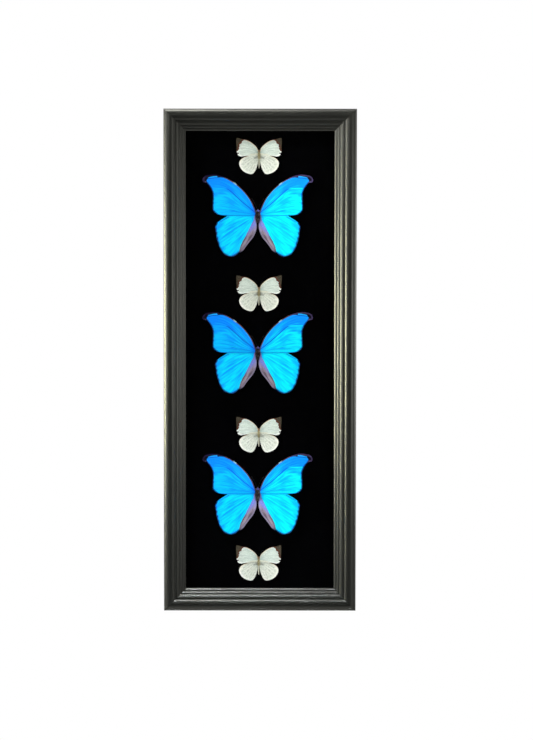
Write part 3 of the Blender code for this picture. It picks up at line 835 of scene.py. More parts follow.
def wing_sheet(name, drawing, steps_along, steps_across, side, lift, arch, forward):
    """A wing as one open sheet, its place counted from the middle of the thorax."""
    points, gap = fan(drawing, steps_along, steps_across)
    intervals = len(drawing["ribs"]) - 1
    bpy.ops.object.select_all(action="DESELECT")
    bpy.ops.mesh.primitive_grid_add(x_subdivisions=steps_along, y_subdivisions=steps_across,
                                    size=1.0, calc_uvs=True)
    piece = bpy.context.object
    piece.name = name
    mesh = piece.data
    flat = np.zeros(len(mesh.vertices) * 3)
    mesh.vertices.foreach_get("co", flat)
    flat = flat.reshape(-1, 3)
    i = np.rint((flat[:, 0] + 0.5) * steps_along).astype(int)
    j = np.rint((flat[:, 1] + 0.5) * steps_across).astype(int)
    u, q = i / steps_along, j / steps_across * intervals
    place, gap = points[i, j], gap[i, j]
    off_rib = np.abs(q - np.rint(q)) * gap

    open_skin = np.clip(gap / WIDE_GAP, 0.0, 1.0) * np.clip(4 * (1 - u), 0.25, 1.0)
    pleat = PLEAT * np.cos(2 * np.pi * q) * open_skin
    ridge = RIDGE * np.exp(-((off_rib / RIDGE_HALF_WIDTH) ** 2)) * (1.15 - u)
    bow = arch * np.sin(np.pi * u) * np.sin(np.pi * q / intervals)
    rise = math.tan(math.radians(lift))
    toward = place[:, 0] * rise + forward + pleat + ridge + bow

    outwards = 1.0 if side == "right" else -1.0
    solid = np.stack([outwards * place[:, 0], -toward, place[:, 1]], axis=1) * MM
    mesh.vertices.foreach_set("co", solid.ravel())
    mesh.update()

    lines = {
        "costa": smooth_line(drawing["ribs"][0], RIB_LINE_STEPS),
        "margin": smooth_line(drawing["margin"], MARGIN_LINE_STEPS),
        "trail": smooth_line(drawing["ribs"][-1], RIB_LINE_STEPS),
        "tip": np.array(drawing["tip"]),
        "band": np.array(drawing["band"]),
        "mark": np.array(drawing["mark"]),
    }
    edges = {key: distance_to_line(place, line) for key, line in lines.items()}
    for key in ("costa", "margin", "trail", "mark"):
        edges[key] = np.abs(edges[key])
    edges["gap"] = gap
    for key, values in edges.items():
        store = mesh.attributes.new(key, "FLOAT", "POINT")
        store.data.foreach_set("value", values)
    store = mesh.attributes.new("place", "FLOAT_VECTOR", "POINT")
    spot = np.stack([place[:, 0], place[:, 1], np.zeros(len(place))], axis=1)
    store.data.foreach_set("vector", spot.ravel())
    return piece


# %% Wing
SKIN = 0.12 * MM
SMOOTH_WING_BELOW = math.radians(50.0)


def wing(name, drawing, steps, side, lift, arch, forward, upper, under):
    """A finished wing round the origin: the sheet given its thickness, and its two finishes."""
    piece = wing_sheet(name, drawing, *steps, side, lift, arch, forward)
    towards_viewer = -sum(face.normal.y for face in piece.data.polygons)
    if towards_viewer < 0:
        edit(piece)
        bpy.ops.mesh.flip_normals()
        bpy.ops.object.mode_set(mode="OBJECT")
    piece.data.materials.append(upper)
    piece.data.materials.append(under)
    apply_modifier(piece, "SOLIDIFY", thickness=SKIN, offset=-1.0, material_offset=1)
    pick(piece)
    bpy.ops.object.shade_smooth_by_angle(angle=SMOOTH_WING_BELOW)
    return piece


# %% [markdown]
# ## Blue wings
# The blue isn't a pigment: thin layers in the scales throw blue light back like a mirror and
# let the rest through to a dark ground. It is painted as a saturated blue that is part metal.
# The left wings and the right ones are tilted differently to the light, and their colours are
# painted to match: the left pair is painted shaded, a deeper blue, and the right pair lit, a
# blue that runs towards cyan.
# The pattern follows the ribs: faint dark veins, streaks along them that are painted satin
# sheen and pleat shade, a darker field above the long vein with a painted sheen at its outer
# end, a black hooked tip, and a violet-grey fold beside the body.


# %% Where a spot lies on a wing
STREAKS_ALONG, STREAKS_PER_RIB = 2.6, 2.3


def ribbing(finish, drawing):
    """Where the nearest rib is: its distance in millimetres, and the streaks along it."""
    uv = finish.node("ShaderNodeUVMap")
    along, across, _ = finish.split(uv)
    number = across * float(len(drawing["ribs"]) - 1)
    gap = finish.attribute("gap")
    off = abs((number + 0.5).fraction() - 0.5) * gap
    inputs = {0: along * STREAKS_ALONG, 1: number * STREAKS_PER_RIB, 2: 0.0}
    stretched = finish.node("ShaderNodeCombineXYZ", None, inputs)
    streak = finish.noise(stretched, 1.0, 6.0)
    return along, number, off, streak


def wing_place(finish):
    """The spot itself, and its millimetres outwards and upwards from the thorax."""
    place = finish.attribute("place", "Vector")
    out_mm, up_mm, _ = finish.split(place)
    return place, out_mm, up_mm


def distances(finish, *names):
    """The distances that the wing sheet keeps, in millimetres."""
    return [finish.attribute(name) for name in names]


# %% [markdown]
# ### Blue forewing
# `lit` says how light the blue is, from 0 to 1, and picks it from three blues; its streaks
# along the ribs are painted satin sheen and pleat shade. The markings are then laid over it in
# turn: the shaded root, the veins, a painted sheen along the long vein, the blue finger that
# reaches into the hooked tip, the ragged dark margin, a painted shadow along the trailing edge,
# the brown leading edge with one pale mark, and the tip.

# %% Blue forewing finish
BLUE_METAL = 0.12
FAINT_GLOSS = 0.04
SCALES_PER_MM = 6.5
RAGS_PER_MM = 2.2
ROOT_BLUE, VEIN_BLUE = (0.004, 0.12, 0.80), (0.003, 0.085, 0.68)
# The painted shadow along the forewing's trailing edge, where it lies over the hindwing.
TRAIL_SHADOW_BLUE = (0.004, 0.115, 0.62)
FINGER_BLUE, MARK_NAVY = (0.020, 0.50, 0.98), (0.004, 0.045, 0.30)
MARGIN_NAVY, MARGIN_BLACK = (0.004, 0.060, 0.42), (0.008, 0.006, 0.030)
COSTA_DARK, COSTA_BROWN = (0.040, 0.014, 0.020), (0.150, 0.060, 0.062)
COSTA_PALE = (0.36, 0.58, 0.66)
TIP_BLACK, TIP_SPOT = (0.004, 0.003, 0.009), (0.12, 0.11, 0.19)
TIP_SPOT_PLACE = (58.6, 36.6, 0.0)


def blue_forewing_finish(name, deep, mid, bright, field, root_shade, hook):
    """field darkens above the long vein and scales the painted sheen; hook tints the tip's rim."""
    finish = Finish(name, Specular_IOR_Level=FAINT_GLOSS)
    along, number, off, streak = ribbing(finish, BLUE_FOREWING)
    place, out_mm, up_mm = wing_place(finish)
    tip, band, mark = distances(finish, "tip", "band", "mark")
    costa, margin, trail = distances(finish, "costa", "margin", "trail")
    fleck = finish.noise(place, 0.9, 3.0)
    scales = finish.noise(place, SCALES_PER_MM, 2.0)
    ragged = finish.noise(place, RAGS_PER_MM, 2.0)

    lit = up_mm.ramp(40.0, 16.0, 0.06, 0.84) * out_mm.ramp(3.0, 24.0, 0.55, 1.0)
    # The streaks along the ribs are painted satin sheen and pleat shade.
    lit = lit - band.ramp(-0.5, 0.9, 0.0, field) + (streak - 0.5) * 3.2
    lit = lit + (scales - 0.5) * 0.16 - out_mm.ramp(44.0, 51.0, 0.0, 0.14)
    lit = lit + trail.ramp(3.4, 2.6, 0.0, 0.16)
    blue = finish.mix(lit.ramp(0.5, 1.0), finish.mix(lit.ramp(0.0, 0.55), deep, mid), bright)

    vein = off.ramp(0.34, 0.08) * along.ramp(1.0, 0.1, 0.16, 0.34)
    cell = abs(band).ramp(0.85, 0.30) * out_mm.ramp(38.5, 33.0, 0.0, 0.92)
    last_vein = abs(number - 8.6).ramp(0.22, 0.05) * along.ramp(0.66, 0.50, 0.0, 0.62)
    # A painted sheen: a lighter streak along the outer end of the long vein.
    sheen = abs(band + 0.1).ramp(0.9, 0.2) * out_mm.ramp(33.5, 38.0, 0.0, field * 3.2)
    finger = tip.ramp(0.2, -0.3) * out_mm.ramp(44.5, 46.0) * mark.ramp(0.3, 0.9)
    finger = finger * (up_mm + out_mm * 0.12 - 46.6).ramp(-0.4, 0.4)
    edging = margin + (ragged - 0.5) * 3.4 + abs(number.fraction() - 0.5) * 0.9
    edge = costa.ramp(1.25, 0.85) * up_mm.ramp(6.0, 10.0, 0.75, 1.0)
    pale = costa.ramp(1.5, 0.8) * out_mm.ramp(23.4, 24.4) * out_mm.ramp(28.2, 26.4)
    rim = costa.ramp(2.3, 1.2).at_least(margin.ramp(2.1, 1.0)) * ragged.ramp(0.30, 0.55, 0.35, 1.0)
    at_tip = (tip + (ragged - 0.5) * 0.8).ramp(-0.2, 0.2)
    spot = finish.far_from(place, TIP_SPOT_PLACE)
    finish.set("Base Color", finish.layers(
        blue,
        (out_mm.ramp(9.5, 3.0, 0.0, root_shade), ROOT_BLUE),
        (vein.at_least(cell).at_least(last_vein), VEIN_BLUE),
        (sheen, bright),
        (finger * 0.7, FINGER_BLUE),
        (mark.ramp(0.75, 0.15, 0.0, 0.75), MARK_NAVY),
        (edging.ramp(2.2, 1.2, 0.0, 0.8), MARGIN_NAVY),
        (edging.ramp(1.35, 0.95, 0.0, 0.92), MARGIN_BLACK),
        # Painted shadow along the trailing edge, where the forewing lies over the hindwing.
        (trail.ramp(0.95, 0.3, 0.0, 0.72), TRAIL_SHADOW_BLUE),
        (edge, finish.mix(fleck, COSTA_DARK, COSTA_BROWN)),
        (pale * 0.9, COSTA_PALE),
        (at_tip, finish.mix(rim, TIP_BLACK, hook)),
        (spot.ramp(1.2, 0.4, 0.0, 0.5), TIP_SPOT),
    ))
    finish.set("Roughness", at_tip * 0.3 + 0.46 + (scales - 0.5) * 0.1)
    finish.set("Metallic", BLUE_METAL - at_tip * BLUE_METAL)
    finish.bump(scales * 0.6 + streak, 0.12 * MM, 0.35)
    return finish.material


# %% [markdown]
# ### Blue hindwing
# The same three blues, with painted shade along two creases, painted satin sheen and pleat
# shade in streaks along the ribs, and a little darker between the ribs near the margin. The fold
# beside the body is another colour altogether: violet above, then grey.

# %% Blue hindwing finish
HIND_ROOT, HIND_VEIN, HIND_MARK = (0.004, 0.16, 0.78), (0.003, 0.15, 0.78), (0.003, 0.09, 0.62)
HIND_NAVY, HIND_BLACK = (0.004, 0.080, 0.50), (0.010, 0.008, 0.040)
FOLD_VIOLET, FOLD_MAUVE = (0.13, 0.19, 0.66), (0.26, 0.24, 0.54)
FOLD_SHADE, FOLD_GREY = (0.095, 0.072, 0.095), (0.300, 0.232, 0.285)
FOLD_FOOT, FOLD_TOE = (0.080, 0.058, 0.085), (0.020, 0.014, 0.030)
FOLD_PALE, FOLD_RIM, FOLD_SEAM = (0.32, 0.28, 0.40), (0.060, 0.050, 0.075), (0.09, 0.07, 0.24)


def blue_hindwing_finish(name, deep, mid, bright, crease_shade):
    """crease_shade is how much painted shade darkens the blue along the two creases."""
    finish = Finish(name, Specular_IOR_Level=FAINT_GLOSS)
    along, number, off, streak = ribbing(finish, BLUE_HINDWING)
    place, out_mm, up_mm = wing_place(finish)
    fold, mark, margin, trail = distances(finish, "band", "mark", "margin", "trail")
    fleck = finish.noise(place, 0.8, 3.0)
    scales = finish.noise(place, SCALES_PER_MM, 2.0)
    ragged = finish.noise(place, RAGS_PER_MM, 2.0)

    # The streaks along the ribs are painted satin sheen and pleat shade.
    lit = margin.ramp(0.4, 10.0, 0.36, 0.76) + (streak - 0.5) * 3.6 + (scales - 0.5) * 0.16
    lit = lit + (number.ramp(3.5, 6.5) - 0.5) * 0.16
    between = abs(number.fraction() - 0.5).ramp(0.22, 0.02) * margin.ramp(9.0, 2.0)
    # Painted shade along two creases: the first near the fourth rib, the second lower down.
    crease_shadow = abs(number - 4.0 - (fleck - 0.5) * 0.2).ramp(0.34, 0.02)
    crease_shadow = crease_shadow * along.ramp(0.10, 0.25) * along.ramp(0.92, 0.75)
    second = abs(number - 6.3).ramp(0.34, 0.02) * along.ramp(0.1, 0.3) * along.ramp(0.66, 0.5)
    lit = lit - between * 0.22 - crease_shadow * crease_shade - second * crease_shade * 0.8
    blue = finish.mix(lit.ramp(0.5, 1.0), finish.mix(lit.ramp(0.0, 0.6), deep, mid), bright)
    edging = margin + (ragged - 0.5) * 3.4 + abs(number.fraction() - 0.5) * 1.6
    blue = finish.layers(
        blue,
        (out_mm.ramp(8.0, 3.2, 0.0, 0.5), HIND_ROOT),
        (off.ramp(0.36, 0.08) * along.ramp(1.0, 0.1, 0.16, 0.40), HIND_VEIN),
        (mark.ramp(0.8, 0.2, 0.0, 0.72), HIND_MARK),
        (edging.ramp(2.6, 1.6, 0.0, 0.7), HIND_NAVY),
        (edging.ramp(1.50, 1.05, 0.0, 0.92), HIND_BLACK),
    )

    violet = (up_mm + fold.ramp(4.5, 0.5, 0.0, 9.0)).ramp(-21.0, -8.0)
    grey = finish.layers(
        finish.mix(streak.ramp(0.40, 0.60), FOLD_SHADE, FOLD_GREY),
        (violet, finish.mix(fleck.ramp(0.3, 0.7), FOLD_VIOLET, FOLD_MAUVE)),
        (up_mm.ramp(-31.0, -42.0, 0.0, 0.72), FOLD_FOOT),
        (trail.ramp(1.9, 0.9, 0.0, 0.6), FOLD_PALE),
        (trail.ramp(0.9, 0.3, 0.0, 0.7), FOLD_RIM),
        (fold.ramp(0.8, 0.1, 0.0, 0.40), FOLD_SEAM),
        (up_mm.ramp(-39.0, -42.4, 0.0, 0.9), FOLD_TOE),
    )
    at_fold = (fold + (fleck - 0.5) * 1.5 + (ragged - 0.5) * 0.8).ramp(-0.2, 0.2)
    finish.set("Base Color", finish.mix(at_fold, blue, grey))
    finish.set("Roughness", at_fold * 0.3 + 0.46 + (scales - 0.5) * 0.1)
    finish.set("Metallic", BLUE_METAL - at_fold * BLUE_METAL)
    finish.bump(scales * 0.6 + streak, 0.12 * MM, 0.35)
    return finish.material


# %% Undersides, and the blue wings' four finishes
def underside(name, dark, light):
    """The back of a wing: dull scales in two tones, banded along the margin."""
    finish = Finish(name, Roughness=0.8, Specular_IOR_Level=0.2)
    place = finish.attribute("place", "Vector")
    mottle = finish.noise(place, 0.7, 4.0)
    bands = (finish.attribute("margin") * 0.28 + mottle * 0.6).fraction()
    finish.set("Base Color", finish.mix(bands.ramp(0.2, 0.8), dark, light))
    finish.bump(mottle, 0.1 * MM, 0.3)
    return finish.material


BLUE_UNDER = underside("blue_wing_underside", (0.050, 0.030, 0.020), (0.135, 0.090, 0.055))
# Left and right are shaded and lit copies of one finish: their blues, tip rims and the strength of
# their painted sheen and shade differ as painted light.
BLUE_FINISHES = {
    ("left", "fore"): blue_forewing_finish(
        "blue_left_forewing_painted_shade", deep=(0.003, 0.24, 0.98), mid=(0.003, 0.35, 0.98),
        bright=(0.003, 0.54, 0.98), field=0.08, root_shade=0.50, hook=(0.015, 0.009, 0.032)),
    ("right", "fore"): blue_forewing_finish(
        "blue_right_forewing_painted_light", deep=(0.003, 0.27, 0.98), mid=(0.003, 0.49, 0.98),
        bright=(0.004, 0.84, 0.98), field=0.22, root_shade=0.25, hook=(0.055, 0.037, 0.098)),
    ("left", "hind"): blue_hindwing_finish(
        "blue_left_hindwing_painted_shade", deep=(0.003, 0.34, 0.98), mid=(0.003, 0.54, 0.98),
        bright=(0.003, 0.73, 0.98), crease_shade=0.65),
    ("right", "hind"): blue_hindwing_finish(
        "blue_right_hindwing_painted_light", deep=(0.003, 0.47, 0.98), mid=(0.003, 0.66, 0.98),
        bright=(0.003, 0.86, 0.98), crease_shade=0.25),
}
print("finishes", [finish.name for finish in BLUE_FINISHES.values()])

# %% [markdown]
# ## White wings
# Chalky white scales with hardly any gloss. The forewings are a cold white and the hindwings a
# warm cream, both paler at the rim, with faint grey veins and grey dust near the body. The tip
# of the forewing is brown, redder along its inner edge.


# %% White wing finish
ROOT_DUST, WING_CREAM = (0.31, 0.41, 0.38), (0.74, 0.70, 0.54)
TIP_DARK, TIP_BROWN = (0.022, 0.018, 0.012), (0.078, 0.062, 0.038)
TIP_RED, NOTCH = (0.095, 0.022, 0.010), (0.022, 0.012, 0.022)
EDGE_STRAW, EDGE_RUST = (0.66, 0.50, 0.30), (0.46, 0.20, 0.07)
SMUDGE, GROOVE, HIND_EDGE = (0.13, 0.15, 0.14), (0.34, 0.365, 0.30), (0.78, 0.60, 0.40)


def white_wing_finish(name, drawing, body_tone, rim_tone, grey_tone, mottle):
    """mottle is how strongly grey specks show in the body's tone."""
    finish = Finish(name, Specular_IOR_Level=0.10)
    along, number, off, streak = ribbing(finish, drawing)
    place, out_mm, _ = wing_place(finish)
    tip, mark, margin = distances(finish, "tip", "mark", "margin")
    costa, trail = distances(finish, "costa", "trail")
    fleck = finish.noise(place, 1.6, 3.0)
    dust = finish.noise(place, 3.2, 4.0)
    speck = fleck * 0.5 + finish.noise(place, 0.45, 3.0) * 0.5
    off_middle = abs(number.fraction() - 0.5)

    tone = finish.layers(
        body_tone,
        ((streak - 0.45) * 3.0, grey_tone),
        ((speck - 0.5) * mottle, grey_tone),
        (off.ramp(0.34, 0.08) * along.ramp(1.0, 0.2, 0.12, 0.36), grey_tone),
        ((margin + (fleck - 0.5) * 2.0 + off_middle * 1.6).ramp(3.4, 1.0), rim_tone),
    )
    if drawing is WHITE_FOREWING:
        near = out_mm.ramp(8.5, 1.5) * fleck.ramp(0.42, 0.56)
        cream = trail.ramp(2.0, 1.4) * out_mm.ramp(13.0, 8.0) * fleck.ramp(0.6, 0.4, 0.45, 0.9)
        edge_tone = finish.mix(out_mm.ramp(4.0, 15.0), EDGE_STRAW, EDGE_RUST)
        red = tip.ramp(2.2, 0.9, 0.0, 0.95) * fleck.ramp(0.36, 0.48)
        brown = finish.mix(fleck.ramp(0.35, 0.65), TIP_DARK, TIP_BROWN)
        scalloped = tip + (fleck - 0.5) + off_middle * 0.8 - 0.2
        tone = finish.layers(
            tone,
            (near, ROOT_DUST),
            (cream, WING_CREAM),
            (trail.ramp(1.1, 0.6) * out_mm.ramp(9.5, 13.0), rim_tone),
            (costa.ramp(0.85, 0.40) * (streak * 0.4 + 0.55), edge_tone),
            (scalloped.ramp(-0.15, 0.15), finish.mix(red, brown, TIP_RED)),
            (mark.ramp(0.95, 0.6), NOTCH),
        )
    else:
        groove = off_middle.ramp(0.32, 0.08) * margin.ramp(1.5, 5.0, 0.0, 0.8)
        tone = finish.layers(
            tone,
            (mark.ramp(2.2, 0.4, 0.0, 0.8) * dust.ramp(0.35, 0.55), SMUDGE),
            (costa.ramp(0.9, 0.40, 0.0, 0.6), HIND_EDGE),
            (groove * speck.ramp(0.44, 0.54), GROOVE),
        )
    finish.set("Base Color", tone)
    finish.set("Roughness", dust * 0.15 + 0.75)
    finish.bump(dust * 0.5 + streak * 0.5, 0.10 * MM, 0.35)
    return finish.material


WHITE_UNDER = underside("white_wing_underside", (0.50, 0.48, 0.36), (0.62, 0.60, 0.48))
WHITE_FINISHES = {
    "fore": white_wing_finish(
        "white_forewing", WHITE_FOREWING, body_tone=(0.665, 0.730, 0.648),
        rim_tone=(0.80, 0.84, 0.76), grey_tone=(0.32, 0.395, 0.345), mottle=3.4),
    "hind": white_wing_finish(
        "white_hindwing", WHITE_HINDWING, body_tone=(0.770, 0.780, 0.685),
        rim_tone=(0.80, 0.81, 0.71), grey_tone=(0.42, 0.46, 0.36), mottle=1.2),
}
print("finishes", [finish.name for finish in WHITE_FINISHES.values()])

# %% [markdown]
# ## Setting the wings
# Each kind is made once, round the origin, and copied to every specimen of that kind. The
# solids of the bodies say where a specimen's thorax is.

# %% Wings on every specimen
SPECIMENS = {"blue": 3, "white": 4}
HEAD_MM = {"blue": 6.4, "white": 6.3}  # from the middle of the thorax to the top of the head
LIFT_DEGREES = {
    ("blue", "left"): 8.0, ("blue", "right"): 5.0,
    ("white", "left"): 8.0, ("white", "right"): 6.0,
}
WING_STEP = 0.4
UNDERSIDES = {"blue": BLUE_UNDER, "white": WHITE_UNDER}
# Kind, pair, drawing, steps along and across the ribs, arch, and how far it lies forwards.
WINGS = (
    ("blue", "fore", BLUE_FOREWING, (128, 110), 1.2, WING_STEP),
    ("blue", "hind", BLUE_HINDWING, (108, 90), 0.9, -WING_STEP),
    ("white", "fore", WHITE_FOREWING, (80, 80), 0.5, WING_STEP),
    ("white", "hind", WHITE_HINDWING, (64, 64), 0.4, -WING_STEP),
)


def perch(kind, number):
    """Where the middle of a specimen's thorax is."""
    low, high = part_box(f"{kind}_butterfly_{number}_body")
    centre = (low + high) / 2
    return Vector((centre.x, centre.y, high.z - HEAD_MM[kind] * MM))


def set_copies(master, kind, part, slot):
    """Copies a finished piece onto each specimen; it stands for that specimen's solid."""
    for number in range(1, SPECIMENS[kind] + 1):
        name = f"{kind}_butterfly_{number}_{part}"
        mesh = master.data.copy()
        mesh.transform(Matrix.Translation(perch(kind, number)))
        piece = bpy.data.objects.new(name + "_piece", mesh)
        scene.collection.objects.link(piece)
        if name in frame["nodes"]:
            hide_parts(name)
        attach(piece, "root")
    bpy.data.objects.remove(master)


for side in ("left", "right"):
    for kind, pair, drawing, steps, arch, forward in WINGS:
        upper = BLUE_FINISHES[side, pair] if kind == "blue" else WHITE_FINISHES[pair]
        made = wing(f"{kind}_{pair}", drawing, steps, side, LIFT_DEGREES[kind, side], arch,
                    forward, upper, UNDERSIDES[kind])
        set_copies(made, kind, f"{side}_{pair}wing", kind + "_wing")

# %% [markdown]
# ## Bodies
# The blue butterflies keep only head and thorax, as big dry specimens often do: a dark body
# under a coat of grey-brown hair that reaches over the wing roots. The white ones are slender
# and whole, olive along the back and pale at the flanks.
# A body is a sphere whose rings are drawn out to its profile, a line of heights and radii.

# %% Body shapes
BLUE_PROFILE = [(6.4, 0.0), (6.1, 0.7), (5.3, 1.2), (4.5, 1.2), (4.0, 1.3), (3.1, 1.9),
                (1.4, 2.3), (-1.0, 2.3), (-3.4, 1.9), (-5.2, 1.5), (-7.4, 1.2), (-8.7, 0.8),
                (-9.1, 0.0)]
WHITE_PROFILE = [(6.3, 0.0), (6.1, 0.45), (5.5, 0.85), (4.7, 0.95), (4.1, 0.9), (3.2, 1.2),
                 (1.4, 1.5), (-0.6, 1.4), (-2.6, 0.95), (-4.2, 0.75), (-8.0, 0.8),
                 (-12.0, 0.6), (-14.2, 0.3), (-14.7, 0.0)]
BODY_SEGMENTS, BODY_RINGS = 32, 40


def drawn_out(name, profile):
    """A round body along Z through the profile's points: height and radius in millimetres."""
    bpy.ops.object.select_all(action="DESELECT")
    bpy.ops.mesh.primitive_uv_sphere_add(segments=BODY_SEGMENTS, ring_count=BODY_RINGS,
                                         radius=1.0)
    piece = bpy.context.object
    piece.name = name
    line = smooth_line(profile, BODY_RINGS + 1)
    for point in piece.data.vertices:
        from_pole = math.acos(max(-1.0, min(1.0, point.co.z)))
        ring = round(from_pole / math.pi * BODY_RINGS)
        height, radius = line[ring]
        if ring in (0, BODY_RINGS):
            radius = 0.0
        around = Vector((point.co.x, point.co.y, 0.0)).normalized() * max(radius, 0.0)
        point.co = Vector((around.x, around.y, height)) * MM
    bpy.ops.object.shade_smooth()
    return piece


def keep_place(piece):
    """Stores where each point lies on the animal, in millimetres, for the finish."""
    spots = np.zeros(len(piece.data.vertices) * 3)
    piece.data.vertices.foreach_get("co", spots)
    store = piece.data.attributes.new("place", "FLOAT_VECTOR", "POINT")
    store.data.foreach_set("vector", spots / MM)


# %% [markdown]
# ### Eyes and antennae
# An eye is a plain ball that is half sunk in the head. An antenna is a curve with a round
# bevel, thicker at its last point for the club, and then turned into a mesh.


# %% Eyes and antennae
def eye(name, x, y, z, radius):
    bpy.ops.object.select_all(action="DESELECT")
    bpy.ops.mesh.primitive_uv_sphere_add(segments=20, ring_count=12, radius=radius * MM,
                                         location=Vector((x, y, z)) * MM)
    bpy.ops.object.transform_apply(location=True, rotation=True, scale=True)
    bpy.ops.object.shade_smooth()
    made = bpy.context.object
    made.name = name
    return made


def feelers(name, head, reach, thickness, club):
    """Both antennae: fine curved stalks that thicken to a club at the end."""
    curve = bpy.data.curves.new(name, "CURVE")
    curve.dimensions = "3D"
    curve.bevel_depth = thickness * MM
    curve.bevel_resolution = 2
    curve.use_fill_caps = True
    for side in (-1, 1):
        # At the head, half-way along, and at the club: a place, and how thick it is there.
        spline = curve.splines.new("BEZIER")
        spline.bezier_points.add(2)
        stations = (
            (Vector((0.5 * side, -0.6, head)), 1.0),
            (Vector((0.26 * reach * side, -1.1, head + 0.55 * reach)), 0.8),
            (Vector((0.55 * reach * side, -1.0, head + reach)), club),
        )
        for point, (place, width) in zip(spline.bezier_points, stations):
            point.co = place * MM
            point.handle_left_type = point.handle_right_type = "AUTO"
            point.radius = width
    holder = bpy.data.objects.new(name, curve)
    scene.collection.objects.link(holder)
    pick(holder)
    bpy.ops.object.convert(target="MESH")
    bpy.ops.object.shade_smooth()
    return bpy.context.object


# %% [markdown]
# ### Hair
# The coat is one mesh of thin tapering blades, laid back from the head like combed fur. A
# particle system would have to be turned into a mesh before it could be copied, so the blades
# are points and faces from the start. Each blade keeps a random shade, so that the finish can
# vary from hair to hair.

# %% Hair
FRONT_HALF = (-0.05, math.pi + 0.05)
ROOTED_AT = 0.95  # of the body's radius
SCATTER, DROOP_SCATTER = 0.28, 0.20
DROOP = np.array([[0.0, 0.15, -0.15]])
BLADE = ((0.0, 1.0), (0.4, 0.8), (0.75, 0.5))  # share of the length, and of the width there
BLADE_POINTS = 2 * len(BLADE) + 1
PROFILE_STEPS = 200


def hair(name, profile, count, span, length, width, comb, seed):
    """A coat of tapering blades rooted on a profile, between two heights.

    comb is how they lie: outwards, sideways and backwards. Each keeps a random shade.
    """
    chance = np.random.default_rng(seed)
    line = smooth_line(profile, PROFILE_STEPS)[::-1]
    height = chance.uniform(*span, count)
    angle = chance.uniform(*FRONT_HALF, count)
    radius = np.interp(height, line[:, 0], line[:, 1])
    out = np.stack([np.cos(angle), -np.sin(angle), np.zeros(count)], axis=1)
    root = out * radius[:, None] * ROOTED_AT + height[:, None] * np.array([0.0, 0.0, 1.0])
    outwards, sideways, backwards = comb
    lie = out * outwards + np.sign(out[:, :1]) * np.array([[sideways, 0.0, 0.0]])
    lie = lie + np.array([[0.0, 0.0, -backwards]]) + chance.normal(0.0, SCATTER, (count, 3))
    lie /= np.linalg.norm(lie, axis=1, keepdims=True)
    reach = chance.uniform(*length, count)[:, None]
    droop = chance.normal(0.0, DROOP_SCATTER, (count, 3)) + DROOP
    across = np.cross(lie, chance.normal(size=(count, 3)))
    across /= np.linalg.norm(across, axis=1, keepdims=True)
    corners = []
    for share, taper in BLADE:
        spine = root + lie * reach * share + droop * reach * share**2
        for hand in (-1, 1):
            corners.append(spine + across * hand * width / 2 * taper)
    corners.append(root + (lie + droop) * reach)
    points = np.stack(corners, axis=1).reshape(-1, 3)
    base = np.arange(count)[:, None] * BLADE_POINTS
    quads = (base + np.array([0, 1, 3, 2])).tolist() + (base + np.array([2, 3, 5, 4])).tolist()
    tips = (base + np.array([4, 5, 6])).tolist()
    mesh = bpy.data.meshes.new(name)
    mesh.from_pydata((points * MM).tolist(), [], quads + tips)
    store = mesh.attributes.new("shade", "FLOAT", "POINT")
    store.data.foreach_set("value", np.repeat(chance.uniform(0.0, 1.0, count), BLADE_POINTS))
    store = mesh.attributes.new("place", "FLOAT_VECTOR", "POINT")
    store.data.foreach_set("vector", np.repeat(root, BLADE_POINTS, axis=0).ravel())
    made = bpy.data.objects.new(name, mesh)
    scene.collection.objects.link(made)
    return made


# %% [markdown]
# ### Finishes of the bodies
# Scales and hair share a recipe, and the hair is lighter. The patches are noise in the
# animal's own millimetres, so every specimen has them in the same places.

# %% Body finishes
OLIVE_DARK, OLIVE_LIGHT = (0.21, 0.17, 0.050), (0.40, 0.34, 0.14)
FLANK_DARK, FLANK_LIGHT = (0.42, 0.40, 0.30), (0.72, 0.71, 0.60)
RING_BROWN, HEAD_BROWN = (0.20, 0.17, 0.10), (0.22, 0.115, 0.065)
CROWN_BLUE = (0.095, 0.085, 0.42)
CROWN_PLACE = (0.8, -1.6, 4.9)


def blue_body_finish(name, dark, light):
    """Patches of dark and light, and a few blue scales on the crown of the head."""
    finish = Finish(name, Roughness=0.7, Specular_IOR_Level=0.3)
    place = finish.attribute("place", "Vector")
    cloud = finish.noise(place, 0.42, 2.0)
    tone = finish.mix(finish.attribute("shade") * 0.4 + (cloud - 0.47) * 4.0, dark, light)
    crown = finish.far_from(place, CROWN_PLACE).ramp(1.7, 0.9, 0.0, 0.95)
    finish.set("Base Color", finish.mix(crown, tone, CROWN_BLUE))
    return finish.material


def white_body_finish(name, is_hair):
    """Olive along the back, pale at the flanks and behind, brown at the head."""
    finish = Finish(name, Roughness=0.75, Specular_IOR_Level=0.25)
    place = finish.attribute("place", "Vector")
    out_mm, _, up_mm = finish.split(place)
    cloud = finish.noise(place, 1.4, 3.0)
    shade = finish.attribute("shade") * 0.6 + cloud * 0.4
    flank = abs(out_mm).ramp(0.7, 1.3, 0.35 if is_hair else 0.1, 1.0)
    flank = flank.at_least(up_mm.ramp(-3.2, -5.0))
    tone = finish.mix(cloud, OLIVE_DARK, OLIVE_LIGHT)
    tone = finish.mix(flank, tone, finish.mix(shade, FLANK_DARK, FLANK_LIGHT))
    if not is_hair:
        at_ring = (up_mm * 0.85).fraction().ramp(0.16, 0.02) * up_mm.ramp(-3.0, -4.0, 0.0, 0.5)
        tone = finish.mix(at_ring, tone, RING_BROWN)
    head = up_mm.ramp(3.6, 4.3, 0.0, 0.85)
    finish.set("Base Color", finish.mix(head, tone, HEAD_BROWN))
    return finish.material


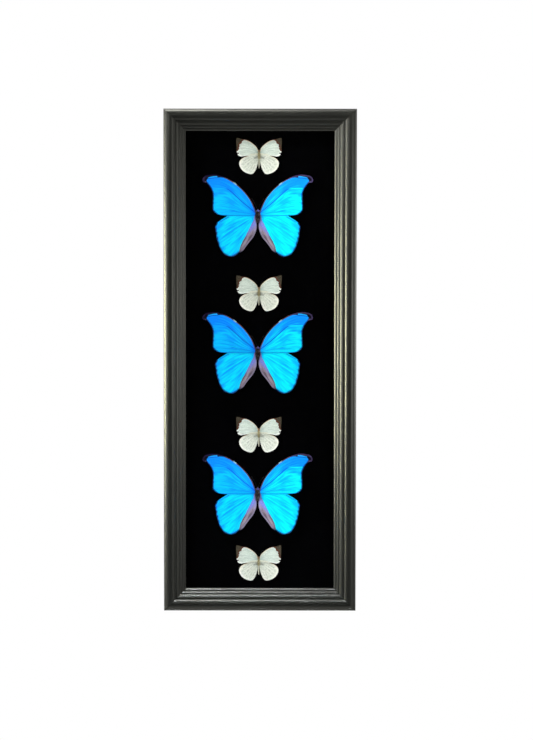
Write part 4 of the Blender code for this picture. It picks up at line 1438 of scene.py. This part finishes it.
def eye_finish():
    """Nearly black, with a very fine bump for the facets."""
    finish = Finish("eye", Base_Color=(0.012, 0.009, 0.008), Roughness=0.18)
    facets = finish.noise(finish.object_place(), 30000.0, 1.0)
    finish.bump(facets, 0.01 * MM, 0.4)
    return finish.material


EYE = eye_finish()
DARK_STALK = Finish("antenna", Base_Color=(0.008, 0.005, 0.005), Roughness=0.6).material
SKINS = {
    "blue": blue_body_finish("blue_body", (0.004, 0.004, 0.005), (0.030, 0.022, 0.022)),
    "white": white_body_finish("white_body", False),
}
HAIRS = {
    "blue": blue_body_finish("blue_body_hair", (0.002, 0.002, 0.003), (0.170, 0.125, 0.125)),
    "white": white_body_finish("white_body_hair", True),
}
print("finishes", [finish.name for finish in (*SKINS.values(), *HAIRS.values())])

# %% Bodies on every specimen
PROFILES = {"blue": BLUE_PROFILE, "white": WHITE_PROFILE}
COATS = {
    "blue": {"count": 2200, "span": (-8.4, 5.6), "length": (0.7, 2.1), "width": 0.13,
             "comb": (0.40, 0.35, 0.75), "seed": 11},
    "white": {"count": 900, "span": (-3.4, 5.8), "length": (0.8, 1.9), "width": 0.07,
              "comb": (0.40, 0.55, 0.65), "seed": 12},
}
EYES = {"blue": (1.15, -0.45, 5.2, 0.62), "white": (0.78, -0.30, 5.1, 0.42)}
STALKS = {
    "blue": {"head": 5.9, "reach": 12.5, "thickness": 0.06, "club": 2.8},
    "white": {"head": 5.9, "reach": 8.0, "thickness": 0.05, "club": 2.6},
}


def dress(made, kind, part, material):
    """Gives a body's piece its finish and copies it onto each specimen."""
    made.data.materials.append(material)
    set_copies(made, kind, part, kind + "_body")


for kind, profile in PROFILES.items():
    made = drawn_out(kind + "_body_shape", profile)
    keep_place(made)
    dress(made, kind, "body", SKINS[kind])
    dress(hair(kind + "_hair", profile, **COATS[kind]), kind, "hair", HAIRS[kind])
    x, y, z, radius = EYES[kind]
    dress(eye("eye", -x, y, z, radius), kind, "left_eye", EYE)
    dress(eye("eye", x, y, z, radius), kind, "right_eye", EYE)
    dress(feelers("feelers", **STALKS[kind]), kind, "antennae", DARK_STALK)
pieces = [item.name for item in scene.objects if item.name.endswith("_piece")]
print("wing and body pieces", len(pieces))
